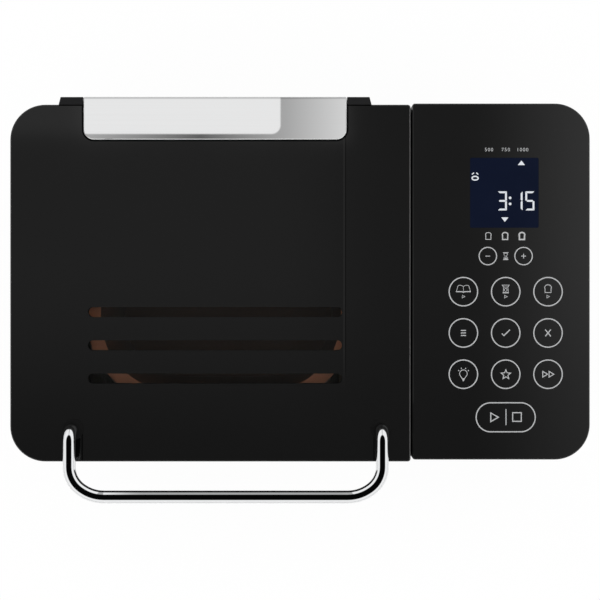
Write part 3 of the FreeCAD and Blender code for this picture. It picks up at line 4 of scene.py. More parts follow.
import bpy
from bpy.props import FloatProperty, FloatVectorProperty, PointerProperty
from bpy.types import Operator, Panel, PropertyGroup
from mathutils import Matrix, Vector


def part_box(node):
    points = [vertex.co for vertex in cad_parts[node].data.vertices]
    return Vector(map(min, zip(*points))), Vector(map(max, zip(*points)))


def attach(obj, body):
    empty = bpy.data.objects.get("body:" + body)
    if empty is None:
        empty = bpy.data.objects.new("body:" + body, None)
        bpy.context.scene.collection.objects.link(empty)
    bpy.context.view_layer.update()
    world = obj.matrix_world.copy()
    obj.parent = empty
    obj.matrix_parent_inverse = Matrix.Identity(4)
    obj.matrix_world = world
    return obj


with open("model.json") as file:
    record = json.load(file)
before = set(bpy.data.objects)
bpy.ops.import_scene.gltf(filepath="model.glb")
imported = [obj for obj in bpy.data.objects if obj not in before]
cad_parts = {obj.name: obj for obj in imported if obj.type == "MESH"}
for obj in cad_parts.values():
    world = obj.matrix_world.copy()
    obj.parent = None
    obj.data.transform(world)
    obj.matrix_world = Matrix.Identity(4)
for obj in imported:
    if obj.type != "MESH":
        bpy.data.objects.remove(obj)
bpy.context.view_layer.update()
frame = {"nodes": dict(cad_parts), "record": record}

bl_info = {
    "name": "Bread machine finish",
    "version": (1, 0, 0),
    "blender": (4, 5, 0),
    "location": "View3D > Sidebar > Bread machine",
    "description": "Finishes, panel print and stage for the packed bread machine",
    "category": "Object",
}

MM = 0.001
PANEL_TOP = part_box("panel_glass")[1][2]
LID_GLASS_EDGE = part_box("lid_glass")[1][0]
PLATE_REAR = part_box("dispenser_lid")[1][1]
PLATE_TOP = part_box("dispenser_lid")[1][2]
PAN_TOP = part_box("bread_pan")[1][2]
PRINT_HEIGHT = PANEL_TOP + 0.00001
FLOOR_GAP = 0.0002
SENSOR_WIDTH = 36
RING_POINTS = 96
DOT_POINTS = 24
RAY_POINTS = 12
DISPLAY_CELL = 0.0002

# Outputs of the Texture Coordinate and Light Path nodes, by their number.
GENERATED, OBJECT = 0, 3
CAMERA_RAY, GLOSSY_RAY, SINGULAR_RAY, TRANSMISSION_RAY, GLOSSY_DEPTH = 0, 3, 4, 6, 11

# Places on the lid glass. Each line of the seam is where it begins and ends across, and the seam fades in
# over a stretch of its depth.
SLOT_CENTRE = -0.058
SLOT_HALF = 0.0868
SLOT_RADIUS = 0.0034
SLOT_ROWS = (-0.05465, -0.03195, -0.00925)
SEAM_PALE = (0.0296, 0.0306)
SEAM_BRIGHT = (0.0308, 0.0314)
SEAM_FADE = (-0.07, -0.03)

# Soft steps, each from its first value to its second, in a ray's direction or its count of bounces.
WALL_TOP = (0.58, 0.70)
LATER_BOUNCE = (1.2, 1.8)
REAR_DEPTH = (0.0, 0.5)
REAR_SIDE = (0.06, 0.09)

# Soft steps on the ceiling, where a place is a ray's slope, across or in depth over its height.
CEILING_DEPTH = (-0.105, 0.028)
CEILING_SIDE = (-0.018, 0.064)
PALE_DEPTH = (-0.11, 0.06)
PALE_SIDE = (0.10, 0.20)
CARD_REAR = (0.128, 0.130)
WHITE_LEFT = (-0.195, -0.185)
GREY_LEFT = (-0.139, -0.137)
GREY_RIGHT = (0.0305, 0.0315)
GREY_FRONT = (0.0982, 0.0988)

# Middle of the white card's round corner, a soft step of its squared radius, and the grey card's shades.
WHITE_CORNER = (-0.0177, 0.1087)
WHITE_ROUND = (0.0000260, 0.0000372)
GREY_SPAN = (-0.14, 0.04)
GREY_STOPS = [(0.033, 0.41), (0.433, 0.12), (0.733, 0.41), (0.933, 0.68)]

# Middle of the duller stretch of the rear wall, the least height of a ray and the white share of the floor.
REAR_MIDDLE = -0.035
LEAST_RISE = 0.05
FLOOR_WHITE = 0.95

# How the keys stand, and how much finer the small rings are.
KEY_COUNT = 9
KEY_COLUMNS = 3
ADJUST_FINENESS = 0.9

# Places of lit marks in the display and a shift of the loaf marks, in metres, and the printed numbers.
UPPER_POINTER = (0.1512, 0.0927)
LOWER_POINTER = (0.1399, 0.0539)
CRUST_PLACE = (0.1196, 0.0822)
SIZE_SHIFT = 0.0004
LOAF_NUMBERS = ("500", "750", "1000")
NUMBER_SPACING = 1.25

# Strokes, filled shapes and sizes of the printed and lit marks, in millimetres from the middle of each mark.
# A stroke is (points, line width, closed) and a filled shape is its list of points. An arc is its first and
# last angle in degrees and its number of points. A stretch or a flatness is a plain factor.
SMALL_PLAY = ([(-0.8, -2.45), (-0.8, -4.35), (1.1, -3.4)], 0.30, True)
RECIPE_STROKES = [
    ([(-4.7, 0.45), (-3.8, 3.75), (-2.8, 4.4), (-1.6, 4.3), (0, 3.6), (1.6, 4.3), (2.8, 4.4), (3.8, 3.75),
      (4.7, 0.45)], 0.36, False),
    ([(0, 3.25), (0, 0.2)], 0.28, False),
    ([(-4.9, 0), (-0.9, 0), (0, -0.45), (0.9, 0), (4.9, 0)], 0.68, False),
    SMALL_PLAY,
]
SCALE_STROKES = [
    ([(-2.4, 4.45), (2.4, 4.45), (1.4, 3.15), (-1.4, 3.15)], 0.40, True),
    ([(-1.5, 2.75), (-1.72, -0.2)], 0.36, False),
    ([(1.5, 2.75), (1.72, -0.2)], 0.36, False),
    ([(-1.9, -0.75), (1.9, -0.75)], 0.74, False),
    SMALL_PLAY,
]
LOAF_STROKES = [
    ([(-2.05, -0.6), (-2.05, 1.9), (-2.3, 2.5), (-2.2, 3.4), (-1.45, 4.4), (0, 4.75), (1.45, 4.4),
      (2.2, 3.4), (2.3, 2.5), (2.05, 1.9), (2.05, -0.6)], 0.46, True),
    SMALL_PLAY,
]
LIST_STROKES = [([(-1.6, y), (1.6, y)], 0.66, False) for y in (1.7, 0.0, -1.7)]
TICK_STROKES = [([(-2.5, -0.55), (-1.2, -1.85), (2.7, 2.05)], 0.7, False)]
CROSS_REACH = 3.0
CROSS_LINE = 0.7
CROSS_STRETCH = (0.63, 0.77)
DIAL_HEIGHT = 1.2
DIAL_RADII = (1.15, 0.8)
BULB_HEIGHT = 0.35
BULB_RADIUS = 2.6
BULB_ARC = (-18, 198, 30)
BULB_NECK = [(-0.8, -3.0), (0.8, -3.0)]
BULB_LINE = 0.46
LAMP_TIP = [(-0.9, -3.32), (0.9, -3.32), (0.3, -4.8), (-0.3, -4.8)]
LAMP_RAYS = [(-3.2, 2.5), (-1.4, 4.05), (1.5, 4.05), (3.4, 2.5)]
RAY_RADIUS = 0.4
STAR_MIDDLE = (0.1, -0.25)
STAR_RADII = (3.35, 1.5)
STAR_LINE = 0.58
SKIP_STROKES = [
    ([(-3.6, 1.95), (-3.6, -1.95), (-0.3, 0)], 0.6, True),
    ([(0.7, 1.95), (0.7, -1.95), (4.0, 0)], 0.6, True),
]
PLUS_REACH = 1.63
PLUS_LINE = 0.52
MINUS_STROKES = [([(-1.5, 0), (1.5, 0)], PLUS_LINE, False)]
TIMER_STROKES = [
    ([(-1.75, 2.35), (1.75, 2.35)], 0.42, False),
    ([(-1.7, -2.4), (1.7, -2.4)], 0.45, False),
    ([(-1.3, 1.95), (-1.25, 1.2), (-0.3, 0), (-1.25, -1.2), (-1.3, -2.0),
      (1.3, -2.0), (1.25, -1.2), (0.3, 0), (1.25, 1.2), (1.3, 1.95)], 0.3, True),
]
TIMER_SAND = [(-0.95, -1.75), (0.95, -1.75), (0.6, -1.05), (-0.6, -1.05)]
SIZE_OUTLINE = [(-1.75, -2.35), (-1.75, 0.3), (-1.95, 0.8), (-1.8, 1.5), (-1.15, 2.2), (0, 2.45),
                (1.15, 2.2), (1.8, 1.5), (1.95, 0.8), (1.75, 0.3), (1.75, -2.35)]
SIZE_LINES = (0.48, 0.78, 1.0)
START_STROKES = [
    ([(-10.2, 2.95), (-10.2, -2.95), (-5.0, 0)], 0.72, True),
    ([(0.2, 5.4), (0.2, -5.2)], 0.62, False),
    ([(4.75, 3.15), (10.65, 3.15), (10.65, -2.75), (4.75, -2.75)], 0.70, True),
]
DIGIT_SEGMENTS = {"3": "top right_upper middle right_lower bottom", "1": "right_upper right_lower",
                  "5": "top left_upper middle right_lower bottom"}
BAR_GAP = 0.1
BAR_TIP = 0.2
COLON_HEIGHT = 2.05
COLON_RADIUS = 0.92
POINTER = [(-2.45, -1.55), (2.45, -1.55), (0, 1.55)]
CRUST_RADIUS = 2.1
CRUST_ARC = (0, 352, 40)
CRUST_FLATNESS = 0.6
CRUST_LINE = 0.85
CRUST_STEAM = [([(-2.05, 2.65), (-0.9, 3.6)], 0.72, False), ([(0.9, 3.6), (2.05, 2.65)], 0.72, False)]


def length_setting(name, description, default):
    """A length that a user can change."""
    return FloatProperty(name=name, description=description, default=default, unit="LENGTH",
                         subtype="DISTANCE")


def colour_setting(name, description, default):
    """A colour that a user can change."""
    return FloatVectorProperty(name=name, description=description, default=default, size=3, subtype="COLOR")


class PanelPrint(PropertyGroup):
    """Places and sizes of what is printed on the control glass."""

    column: length_setting("Column", "Distance of the key column from the middle of the machine", 0.1405)
    pitch: length_setting("Key pitch", "Distance between two keys side by side", 0.0289)
    row_pitch: length_setting("Row pitch", "Distance between two rows of keys", 0.0282)
    first_row: length_setting("First row", "Depth of the first row of keys", 0.0047)
    key_radius: length_setting("Key radius", "Outer radius of the ring round a key", 0.0101)
    adjust_radius: length_setting("Adjust radius", "Outer radius of the rings of minus and plus", 0.0063)
    adjust_row: length_setting("Adjust row", "Depth of the minus and plus keys", 0.029)
    adjust_step: length_setting("Adjust step", "Distance from minus to plus", 0.0244)
    start_row: length_setting("Start row", "Depth of the start key", -0.0811)
    start_width: length_setting("Start width", "Outer width of the start key's ring", 0.0411)
    start_radius: length_setting("Start radius", "Outer radius of the start key's ends", 0.0103)
    line: length_setting("Ring line", "Width of the rings' lines", 0.00076)
    size_row: length_setting("Loaf row", "Depth of the three loaf marks", 0.0427)
    size_step: length_setting("Loaf step", "Distance between two loaf marks", 0.01147)
    number_row: length_setting("Number row", "Depth of the numbers over the display", 0.1016)
    number_height: length_setting("Number height", "Type size of the numbers over the display", 0.0034)
    ink: length_setting("Ink thickness", "Thickness of the print on the glass", 0.00005)
    ink_colour: colour_setting("Ink colour", "Colour of the panel print", (0.37, 0.375, 0.38))


class DisplayPrint(PropertyGroup):
    """Places and sizes of what the display shows."""

    digit_row: length_setting("Digit row", "Depth of the middle of the time", 0.0667)
    hour: length_setting("Hour", "Place of the hour's digit", 0.1382)
    ten_minutes: length_setting("Ten minutes", "Place of the tens of the minutes", 0.1489)
    minutes: length_setting("Minutes", "Place of the minutes' digit", 0.157)
    colon: length_setting("Colon", "Place of the two dots", 0.1435)
    half_width: length_setting("Digit half width", "Half the width of a digit", 0.0031)
    half_height: length_setting("Digit half height", "Half the height of a digit", 0.0065)
    bar: length_setting("Digit bar", "Width of the bars of a digit", 0.00125)
    glow: colour_setting("Glow", "Colour of the lit marks", (0.69, 0.72, 0.77))


class StageSettings(PropertyGroup):
    """The camera and the light."""

    camera_height: length_setting("Camera height", "Height of the camera over the table", 1.383)
    camera_depth: length_setting("Camera depth", "Depth of the camera over the machine", -0.001)
    lens: FloatProperty(name="Lens", description="Focal length in millimetres", default=96.63,
                        unit="CAMERA", subtype="DISTANCE_CAMERA")
    lamp_power: FloatProperty(name="Lamp power", description="Power of the soft lamp overhead",
                              default=42.0, subtype="POWER")
    lamp_size: length_setting("Lamp size", "Side of the soft lamp overhead", 1.6)
    lamp_height: length_setting("Lamp height", "Height of the soft lamp over the table", 2.2)
    lamp_depth: length_setting("Lamp depth", "Depth of the soft lamp over the machine", 0.1)
    floor_size: length_setting("Floor size", "Side of the floor", 8.0)


class MachineSettings(PropertyGroup):
    """All that can be changed on the machine and its stage."""

    panel: PointerProperty(type=PanelPrint)
    display: PointerProperty(type=DisplayPrint)
    stage: PointerProperty(type=StageSettings)


class Socket:
    """One value in a node tree. Arithmetic on it adds Math nodes."""

    def __init__(self, shader, socket):
        self.shader = shader
        self.socket = socket

    def __add__(self, other):
        return self.shader.math("ADD", self, other)

    def __radd__(self, other):
        return self.shader.math("ADD", other, self)

    def __sub__(self, other):
        return self.shader.math("SUBTRACT", self, other)

    def __rsub__(self, other):
        return self.shader.math("SUBTRACT", other, self)

    def __mul__(self, other):
        return self.shader.math("MULTIPLY", self, other)

    def __rmul__(self, other):
        return self.shader.math("MULTIPLY", other, self)

    def __truediv__(self, other):
        return self.shader.math("DIVIDE", self, other)

    def __rtruediv__(self, other):
        return self.shader.math("DIVIDE", other, self)

    def __abs__(self):
        return self.shader.math("ABSOLUTE", self)

    def __lt__(self, other):
        return self.shader.math("LESS_THAN", self, other)

    def __gt__(self, other):
        return self.shader.math("GREATER_THAN", self, other)


class Shader:
    """A node tree under construction, for a finish or for the world."""

    def __init__(self, owner):
        owner.use_nodes = True
        self.tree = owner.node_tree
        self.tree.nodes.clear()

    def node(self, kind, settings=None, sockets=None):
        """Adds a node, makes its settings, sets or links its sockets and gives its outputs."""
        node = self.tree.nodes.new(kind)
        for name, value in (settings or {}).items():
            if name == "stops":
                self.set_stops(node.color_ramp, value)
            else:
                setattr(node, name, value)
        for key, value in (sockets or {}).items():
            if isinstance(value, Socket):
                self.tree.links.new(value.socket, node.inputs[key])
            else:
                node.inputs[key].default_value = value
        return [Socket(self, socket) for socket in node.outputs]

    @staticmethod
    def set_stops(ramp, stops):
        """Gives a ramp its stops as grey levels."""
        while len(ramp.elements) < len(stops):
            ramp.elements.new(0.5)
        for element, (position, level) in zip(ramp.elements, stops):
            element.position = position
            element.color = (level, level, level, 1)

    def math(self, operation, *values):
        return self.node("ShaderNodeMath", {"operation": operation}, dict(enumerate(values)))[0]

    def place(self):
        """Object coordinates."""
        return self.node("ShaderNodeTexCoord")[OBJECT]

    def stretched(self, scale):
        """Object coordinates, stretched along each axis."""
        return self.node("ShaderNodeMapping", None, {"Vector": self.place(), "Scale": scale})[0]

    def split(self, vector):
        return self.node("ShaderNodeSeparateXYZ", None, {0: vector})

    def step(self, value, low, high):
        """A smooth step from 0 at low to 1 at high."""
        return self.node("ShaderNodeMapRange", {"interpolation_type": "SMOOTHSTEP"},
                         {"Value": value, "From Min": low, "From Max": high})[0]

    def band(self, value, low, high, soft):
        """1 between low and high, 0 outside, with soft ends."""
        return self.step(value, low - soft, low + soft) * (1 - self.step(value, high - soft, high + soft))

    def noise(self, vector, scale, detail=2.0, roughness=0.5):
        return self.node("ShaderNodeTexNoise", None, {
            "Vector": vector, "Scale": scale, "Detail": detail, "Roughness": roughness})[0]

    def cells(self, vector, scale):
        """A random grey for each cell of a Voronoi pattern."""
        colour = self.node("ShaderNodeTexVoronoi", None, {"Vector": vector, "Scale": scale})[1]
        return self.split(colour)[0]

    def mix(self, factor, first, second):
        """Two colours, mixed by a factor."""
        return self.node("ShaderNodeMix", {"data_type": "RGBA"}, {
            0: factor, 6: (*first, 1), 7: (*second, 1)})[2]

    def bump(self, height, distance):
        return self.node("ShaderNodeBump", None, {"Height": height, "Distance": distance})[0]

    def surface(self, **sockets):
        """A Principled surface, with its sockets named in snake case."""
        named = {}
        for key, value in sockets.items():
            named[key.replace("_", " ").title().replace("Ior", "IOR")] = value
        return self.node("ShaderNodeBsdfPrincipled", None, named)[0]

    def blend(self, factor, first, second):
        """Two surfaces, mixed by a factor."""
        return self.node("ShaderNodeMixShader", None, {0: factor, 1: first, 2: second})[0]

    def finish(self, surface):
        self.node("ShaderNodeOutputMaterial", None, {"Surface": surface})


def moulded_plastic(shader):
    """Matt black plastic with a fine spark-eroded grain."""
    grain = shader.noise(shader.place(), 2600.0, 3.0)
    cloud = shader.noise(shader.place(), 9.0)
    return shader.surface(
        base_color=shader.mix(cloud, (0.0026, 0.0026, 0.0029), (0.0046, 0.0046, 0.0049)),
        roughness=0.42 + 0.16 * grain, specular_ior_level=0.3, normal=shader.bump(grain, 0.00004))


def black_control_glass(shader):
    """Black-backed glass with a trace of haze."""
    haze = shader.noise(shader.place(), 14.0, 3.0)
    return shader.surface(
        base_color=shader.mix(haze, (0.0006, 0.0006, 0.0006), (0.0013, 0.0013, 0.0013)),
        roughness=0.035 + 0.04 * haze, normal=shader.bump(shader.noise(shader.place(), 90.0), 0.000003))


def slot_windows(shader):
    """1 over the three clear slots of the lid glass, 0 over its black print."""
    across, deep = shader.split(shader.place())[:2]
    beyond = shader.math("MAXIMUM", abs(across - SLOT_CENTRE) - (SLOT_HALF - SLOT_RADIUS), 0.0)
    rows = [beyond * beyond + (deep - row) * (deep - row) < SLOT_RADIUS * SLOT_RADIUS for row in SLOT_ROWS]
    return rows[0] + rows[1] + rows[2]


def smoked_lid_glass(shader):
    """Glass printed black underneath, clear over the slots, with a fine seam and a painted highlight along
    its right edge.
    """
    across, deep = shader.split(shader.place())[:2]
    haze = shader.noise(shader.place(), 11.0, 3.0)
    # Painted highlight: the base colour is pale in a thin band along the right edge of the glass.
    edge = shader.band(across, LID_GLASS_EDGE - 0.0008, LID_GLASS_EDGE - 0.0001, 0.00015)
    seam = shader.step(deep, *SEAM_FADE)
    pale = 0.055 * seam * shader.band(across, *SEAM_PALE, 0.0002)
    bright = 0.5 * seam * shader.band(across, *SEAM_BRIGHT, 0.0001)
    ripple = shader.noise(shader.place(), 60.0)
    return shader.surface(
        base_color=shader.mix(edge + (0.006 * haze + pale) * (1 - edge),
                              (0.0005, 0.0005, 0.0005), (0.095, 0.094, 0.093)),
        roughness=0.035 + 0.04 * haze, metallic=bright, alpha=1 - 0.92 * slot_windows(shader),
        normal=shader.bump(ripple, 0.000003))


def clear_oven_glass(shader):
    """Clear glass with a faint film of baking on it."""
    film = shader.noise(shader.place(), 26.0, 4.0)
    return shader.surface(
        base_color=shader.mix(film, (0.05, 0.055, 0.05), (0.12, 0.12, 0.11)),
        roughness=0.02 + 0.07 * film, alpha=0.04 + 0.06 * film)


def display_glass(shader):
    """Navy display with a fine cell pattern and a little light behind it."""
    across, deep = (shader.math("PINGPONG", along, DISPLAY_CELL) / DISPLAY_CELL
                    for along in shader.split(shader.place())[:2])
    cells = across * deep
    cloud = shader.noise(shader.place(), 40.0)
    glow = shader.mix(0.7 * cloud + 0.3 * cells, (0.0017, 0.0033, 0.0105), (0.0032, 0.0060, 0.0170))
    return shader.surface(
        base_color=shader.mix(cloud, (0.0013, 0.0019, 0.0048), (0.0019, 0.0025, 0.0062)),
        roughness=0.07 + 0.05 * cloud, specular_ior_level=0.04, emission_color=glow, emission_strength=1.0)


def brushed_wrap(shader):
    """Stainless sheet, brushed along the body."""
    streak = shader.noise(shader.stretched((5.0, 5.0, 1700.0)), 1.0, 3.0, 0.6)
    print_marks = shader.noise(shader.place(), 12.0, 3.0)
    return shader.surface(
        base_color=shader.mix(streak, (0.47, 0.47, 0.475), (0.62, 0.62, 0.625)), metallic=1.0,
        roughness=0.24 + 0.12 * streak + 0.05 * print_marks, normal=shader.bump(streak, 0.00001))


def chrome(shader):
    """Bright chrome with a trace of handling."""
    trace = shader.noise(shader.place(), 30.0, 4.0)
    return shader.surface(
        base_color=shader.mix(trace, (0.80, 0.81, 0.82), (0.87, 0.875, 0.88)), metallic=1.0,
        roughness=0.001 + 0.0025 * trace)


def polished_plate(shader):
    """Polished metal plate with fine lines along it and painted shade: a darker strip along the rear edge.
    """
    deep, height = shader.split(shader.place())[1:]
    line = shader.noise(shader.stretched((4.0, 1100.0, 1100.0)), 1.0, 2.0)
    trace = shader.noise(shader.place(), 22.0, 3.0)
    edge = 1 - shader.step(height, PLATE_TOP - 0.00025, PLATE_TOP - 0.00005)
    # Painted shade: the base colour is darker in a strip along the rear edge of the plate.
    painted_rear_shade = shader.step(deep, PLATE_REAR - 0.0016, PLATE_REAR - 0.0012)
    return shader.surface(
        base_color=shader.mix((1 - painted_rear_shade) * (0.86 + 0.14 * line),
                              (0.66, 0.663, 0.667), (0.94, 0.942, 0.944)),
        metallic=1.0, roughness=0.006 + 0.003 * line + 0.003 * trace + 0.4 * edge)


def dark_enamel(shader):
    """Black fired enamel with orange peel and a few pale specks."""
    peel = shader.noise(shader.place(), 420.0)
    speck = shader.step(shader.cells(shader.place(), 900.0), 0.94, 1.0)
    return shader.surface(
        base_color=shader.mix(speck, (0.0060, 0.0060, 0.0065), (0.022, 0.022, 0.023)),
        roughness=0.30 + 0.15 * peel, normal=shader.bump(peel, 0.00002))


def spangled_sheet(shader):
    """Coated sheet steel with its crystal spangle."""
    spangle = shader.cells(shader.place(), 210.0)
    stain = shader.noise(shader.place(), 15.0, 4.0)
    return shader.surface(
        base_color=shader.mix(0.6 * spangle + 0.4 * stain, (0.34, 0.34, 0.345), (0.56, 0.56, 0.565)),
        metallic=1.0, roughness=0.30 + 0.14 * spangle + 0.08 * stain)


def bronze_coating(shader):
    """Dark non-stick coating with fine bronze flakes, bare copper-bronze at the rim."""
    flake = shader.cells(shader.place(), 1900.0)
    cloud = shader.noise(shader.place(), 18.0, 3.0)
    rim = shader.step(shader.split(shader.place())[2], PAN_TOP - 0.0025, PAN_TOP - 0.0008)
    shade = 0.055 * flake + 0.03 * cloud
    return shader.surface(
        base_color=shader.mix(rim + (1 - rim) * shade, (0.020, 0.011, 0.007), (0.80, 0.37, 0.22)),
        metallic=0.25 * rim, roughness=0.30 + 0.15 * flake, normal=shader.bump(flake, 0.000015))


def black_rubber(shader):
    """Dull rubber with a dusty grain."""
    grain = shader.noise(shader.place(), 1500.0, 3.0)
    dust = shader.noise(shader.place(), 60.0, 3.0)
    return shader.surface(
        base_color=shader.mix(dust, (0.0022, 0.0022, 0.0022), (0.0046, 0.0045, 0.0045)),
        roughness=0.40 + 0.2 * grain, specular_ior_level=0.12, normal=shader.bump(grain, 0.00003))


def grey_silicone(shader):
    """Soft grey silicone, a little floury."""
    flour = shader.noise(shader.place(), 220.0, 4.0)
    return shader.surface(
        base_color=shader.mix(flour, (0.085, 0.085, 0.088), (0.15, 0.15, 0.152)),
        roughness=0.45 + 0.2 * flour, normal=shader.bump(flour, 0.00003))


def turned_steel(shader):
    """Steel with lathe lines round it."""
    line = shader.noise(shader.stretched((60.0, 60.0, 3200.0)), 1.0)
    oil = shader.noise(shader.place(), 70.0, 3.0)
    return shader.surface(
        base_color=shader.mix(line, (0.42, 0.42, 0.43), (0.60, 0.60, 0.61)), metallic=1.0,
        roughness=0.18 + 0.14 * line + 0.08 * oil, normal=shader.bump(line, 0.000008))


def cast_alloy(shader):
    """Cast alloy with the skin of its mould."""
    skin = shader.noise(shader.place(), 520.0, 4.0)
    flow = shader.noise(shader.place(), 30.0, 2.0)
    return shader.surface(
        base_color=shader.mix(flow, (0.30, 0.30, 0.305), (0.43, 0.43, 0.435)), metallic=1.0,
        roughness=0.42 + 0.2 * skin, normal=shader.bump(skin, 0.00008))


def enamelled_copper(shader):
    """Bundled copper wire under varnish."""
    wire = shader.noise(shader.stretched((900.0, 900.0, 60.0)), 1.0)
    varnish = shader.noise(shader.place(), 45.0, 3.0)
    return shader.surface(
        base_color=shader.mix(wire, (0.38, 0.12, 0.045), (0.72, 0.29, 0.13)), metallic=1.0,
        roughness=0.22 + 0.2 * varnish, normal=shader.bump(wire, 0.0002))


def green_board(shader):
    """Circuit board with its tracks under green lacquer."""
    track = shader.step(shader.cells(shader.stretched((1.0, 0.35, 1.0)), 420.0), 0.45, 0.55)
    cloud = shader.noise(shader.place(), 50.0, 2.0)
    return shader.surface(
        base_color=shader.mix(0.75 * track + 0.25 * cloud, (0.008, 0.045, 0.022), (0.025, 0.125, 0.058)),
        roughness=0.28 + 0.1 * cloud, normal=shader.bump(track, 0.00003))


def fired_ceramic(shader):
    """Off-white glazed ceramic with iron specks."""
    speck = shader.step(shader.cells(shader.place(), 1300.0), 0.9, 1.0)
    glaze = shader.noise(shader.place(), 300.0, 2.0)
    return shader.surface(
        base_color=shader.mix(speck, (0.62, 0.60, 0.56), (0.30, 0.27, 0.23)),
        roughness=0.25 + 0.2 * glaze, normal=shader.bump(glaze, 0.00002))


def oven_lamp_glass(shader):
    """Frosted lamp glass, lit from behind."""
    frost = shader.noise(shader.place(), 700.0, 3.0)
    return shader.surface(
        base_color=shader.mix(frost, (0.85, 0.80, 0.72), (0.95, 0.92, 0.86)), roughness=0.3 + 0.2 * frost,
        emission_color=shader.mix(frost, (1.0, 0.58, 0.26), (1.0, 0.66, 0.34)), emission_strength=52.0)


def natural_nylon(shader):
    """Milky nylon with a faint moulded flow."""
    flow = shader.noise(shader.stretched((40.0, 40.0, 160.0)), 1.0, 3.0)
    return shader.surface(
        base_color=shader.mix(flow, (0.56, 0.55, 0.52), (0.68, 0.67, 0.64)),
        roughness=0.36 + 0.14 * flow, normal=shader.bump(flow, 0.00003))


def dimmed(colour):
    """A colour, a tenth darker."""
    return tuple(0.9 * level for level in colour)


def panel_ink(shader):
    """Silver-grey screen print with the ghost of its mesh."""
    colour = tuple(bpy.context.scene.bread_machine.panel.ink_colour)
    mesh = shader.noise(shader.place(), 3500.0)
    return shader.surface(
        base_color=shader.mix(mesh, colour, dimmed(colour)), roughness=0.42 + 0.1 * mesh)


def display_light(shader):
    """Lit segments of the display, with their fine cells."""
    colour = tuple(bpy.context.scene.bread_machine.display.glow)
    cells = shader.noise(shader.place(), 2600.0)
    return shader.surface(
        base_color=shader.mix(cells, (0.05, 0.05, 0.05), (0.06, 0.06, 0.06)), roughness=0.3,
        emission_color=shader.mix(cells, colour, dimmed(colour)), emission_strength=1.0)


FINISHES = {
    "black_plastic": moulded_plastic, "gloss_black": black_control_glass, "smoked_glass": smoked_lid_glass,
    "clear_glass": clear_oven_glass, "display_glass": display_glass, "steel_wrap": brushed_wrap,
    "chrome": chrome, "polished_plate": polished_plate, "dark_enamel": dark_enamel,
    "sheet_steel": spangled_sheet, "pan_coating": bronze_coating, "rubber_black": black_rubber,
    "silicone": grey_silicone, "machined_steel": turned_steel, "cast_metal": cast_alloy,
    "copper": enamelled_copper, "board_green": green_board, "ceramic": fired_ceramic,
    "lamp_glass": oven_lamp_glass, "white_nylon": natural_nylon,
}


def finish_named(make):
    """The material that a finish function makes, made once."""
    name = f"{make.__name__}_finish"
    if name not in bpy.data.materials:
        material = bpy.data.materials.new(name)
        shader = Shader(material)
        shader.finish(make(shader))
    return bpy.data.materials[name]


def dress(body):
    """Gives every CAD node of a body the finish of its slot."""
    slots = {row["node"]: row["material_slot"] for row in frame["record"]["subparts"]}
    for node in frame["record"]["behaviour"]["bodies"][body]:
        for holder in frame["nodes"][node].material_slots:
            holder.material = finish_named(FINISHES[slots[node]])


def begin(add, **options):
    """Adds an object by itself, with nothing else selected."""
    bpy.ops.object.select_all(action="DESELECT")
    add(**options)
    return bpy.context.object


def settle(piece, name, make):
    """Names a flat piece of print, thickens it and lets it ride on the case."""
    ink = bpy.context.scene.bread_machine.panel.ink
    piece.name = name
    bpy.ops.object.transform_apply(location=True, rotation=True, scale=True)
    bpy.ops.object.modifier_add(type="SOLIDIFY")
    piece.modifiers[-1].thickness = ink
    piece.modifiers[-1].offset = 1.0
    bpy.ops.object.modifier_apply(modifier=piece.modifiers[-1].name)
    piece.data.name = name
    piece.data.materials.clear()
    piece.data.materials.append(finish_named(make))
    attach(piece, "case")


def copied(piece, name, move):
    """Copies a settled piece, with its own mesh, by a step."""
    bpy.ops.object.select_all(action="DESELECT")
    piece.select_set(True)
    bpy.context.view_layer.objects.active = piece
    bpy.ops.object.duplicate()
    copy = bpy.context.object
    bpy.ops.transform.translate(value=move)
    bpy.ops.object.transform_apply(location=True, rotation=True, scale=True)
    copy.name = name
    copy.data.name = name
    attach(copy, "case")


def ring(name, x, y, radius, line, stretch=0.0):
    """A printed ring, or a longer one with round ends."""
    piece = begin(bpy.ops.mesh.primitive_circle_add, vertices=RING_POINTS, radius=radius, fill_type="NGON",
                  location=(x, y, PRINT_HEIGHT))
    bpy.ops.object.mode_set(mode="EDIT")
    if stretch:
        for side in (-1, 1):
            bpy.ops.mesh.select_all(action="DESELECT")
            bpy.ops.object.mode_set(mode="OBJECT")
            for vertex in piece.data.vertices:
                vertex.select = vertex.co.x * side > 0.0
            bpy.ops.object.mode_set(mode="EDIT")
            bpy.ops.transform.translate(value=(side * stretch, 0, 0))
        bpy.ops.mesh.select_all(action="SELECT")
    bpy.ops.mesh.inset(thickness=line)
    bpy.ops.mesh.delete(type="FACE")
    bpy.ops.object.mode_set(mode="OBJECT")
    settle(piece, name, panel_ink)
    return piece


def offset_line(points, width, closed):
    """The two sides of a line of some width, with mitred corners."""
    path = [Vector(point) for point in points]
    count = len(path)
    sides = ([], [])
    for index, point in enumerate(path):
        before = path[index - 1] if index or closed else None
        after = path[(index + 1) % count] if index + 1 < count or closed else None
        ends = ((before, point), (point, after))
        runs = [(end - start).normalized() for start, end in ends if start is not None and end is not None]
        normals = [Vector((-run.y, run.x)) for run in runs]
        mitre = (normals[0] + normals[-1]) / (1 + normals[0].dot(normals[-1]))
        cap = Vector((0, 0))
        if before is None:
            cap = -runs[0] * width / 4
        elif after is None:
            cap = runs[0] * width / 4
        for side, sign in zip(sides, (1, -1)):
            side.append(point + cap + mitre * sign * width / 2)
    return sides


def stroke_loops(strokes):
    """Closed outlines of a list of strokes."""
    loops = []
    for points, width, closed in strokes:
        left, right = offset_line(points, width, closed)
        loops.extend([left, right] if closed else [left + right[::-1]])
    return loops


def crossed(reach, width):
    """Outline of two bars across each other, as one loop."""
    half = width / 2
    quarter = [(half, half), (half, reach), (-half, reach)]
    turns = ((1, 0), (0, 1), (-1, 0), (0, -1))
    return [(x * cosine - y * sine, x * sine + y * cosine) for cosine, sine in turns for x, y in quarter]


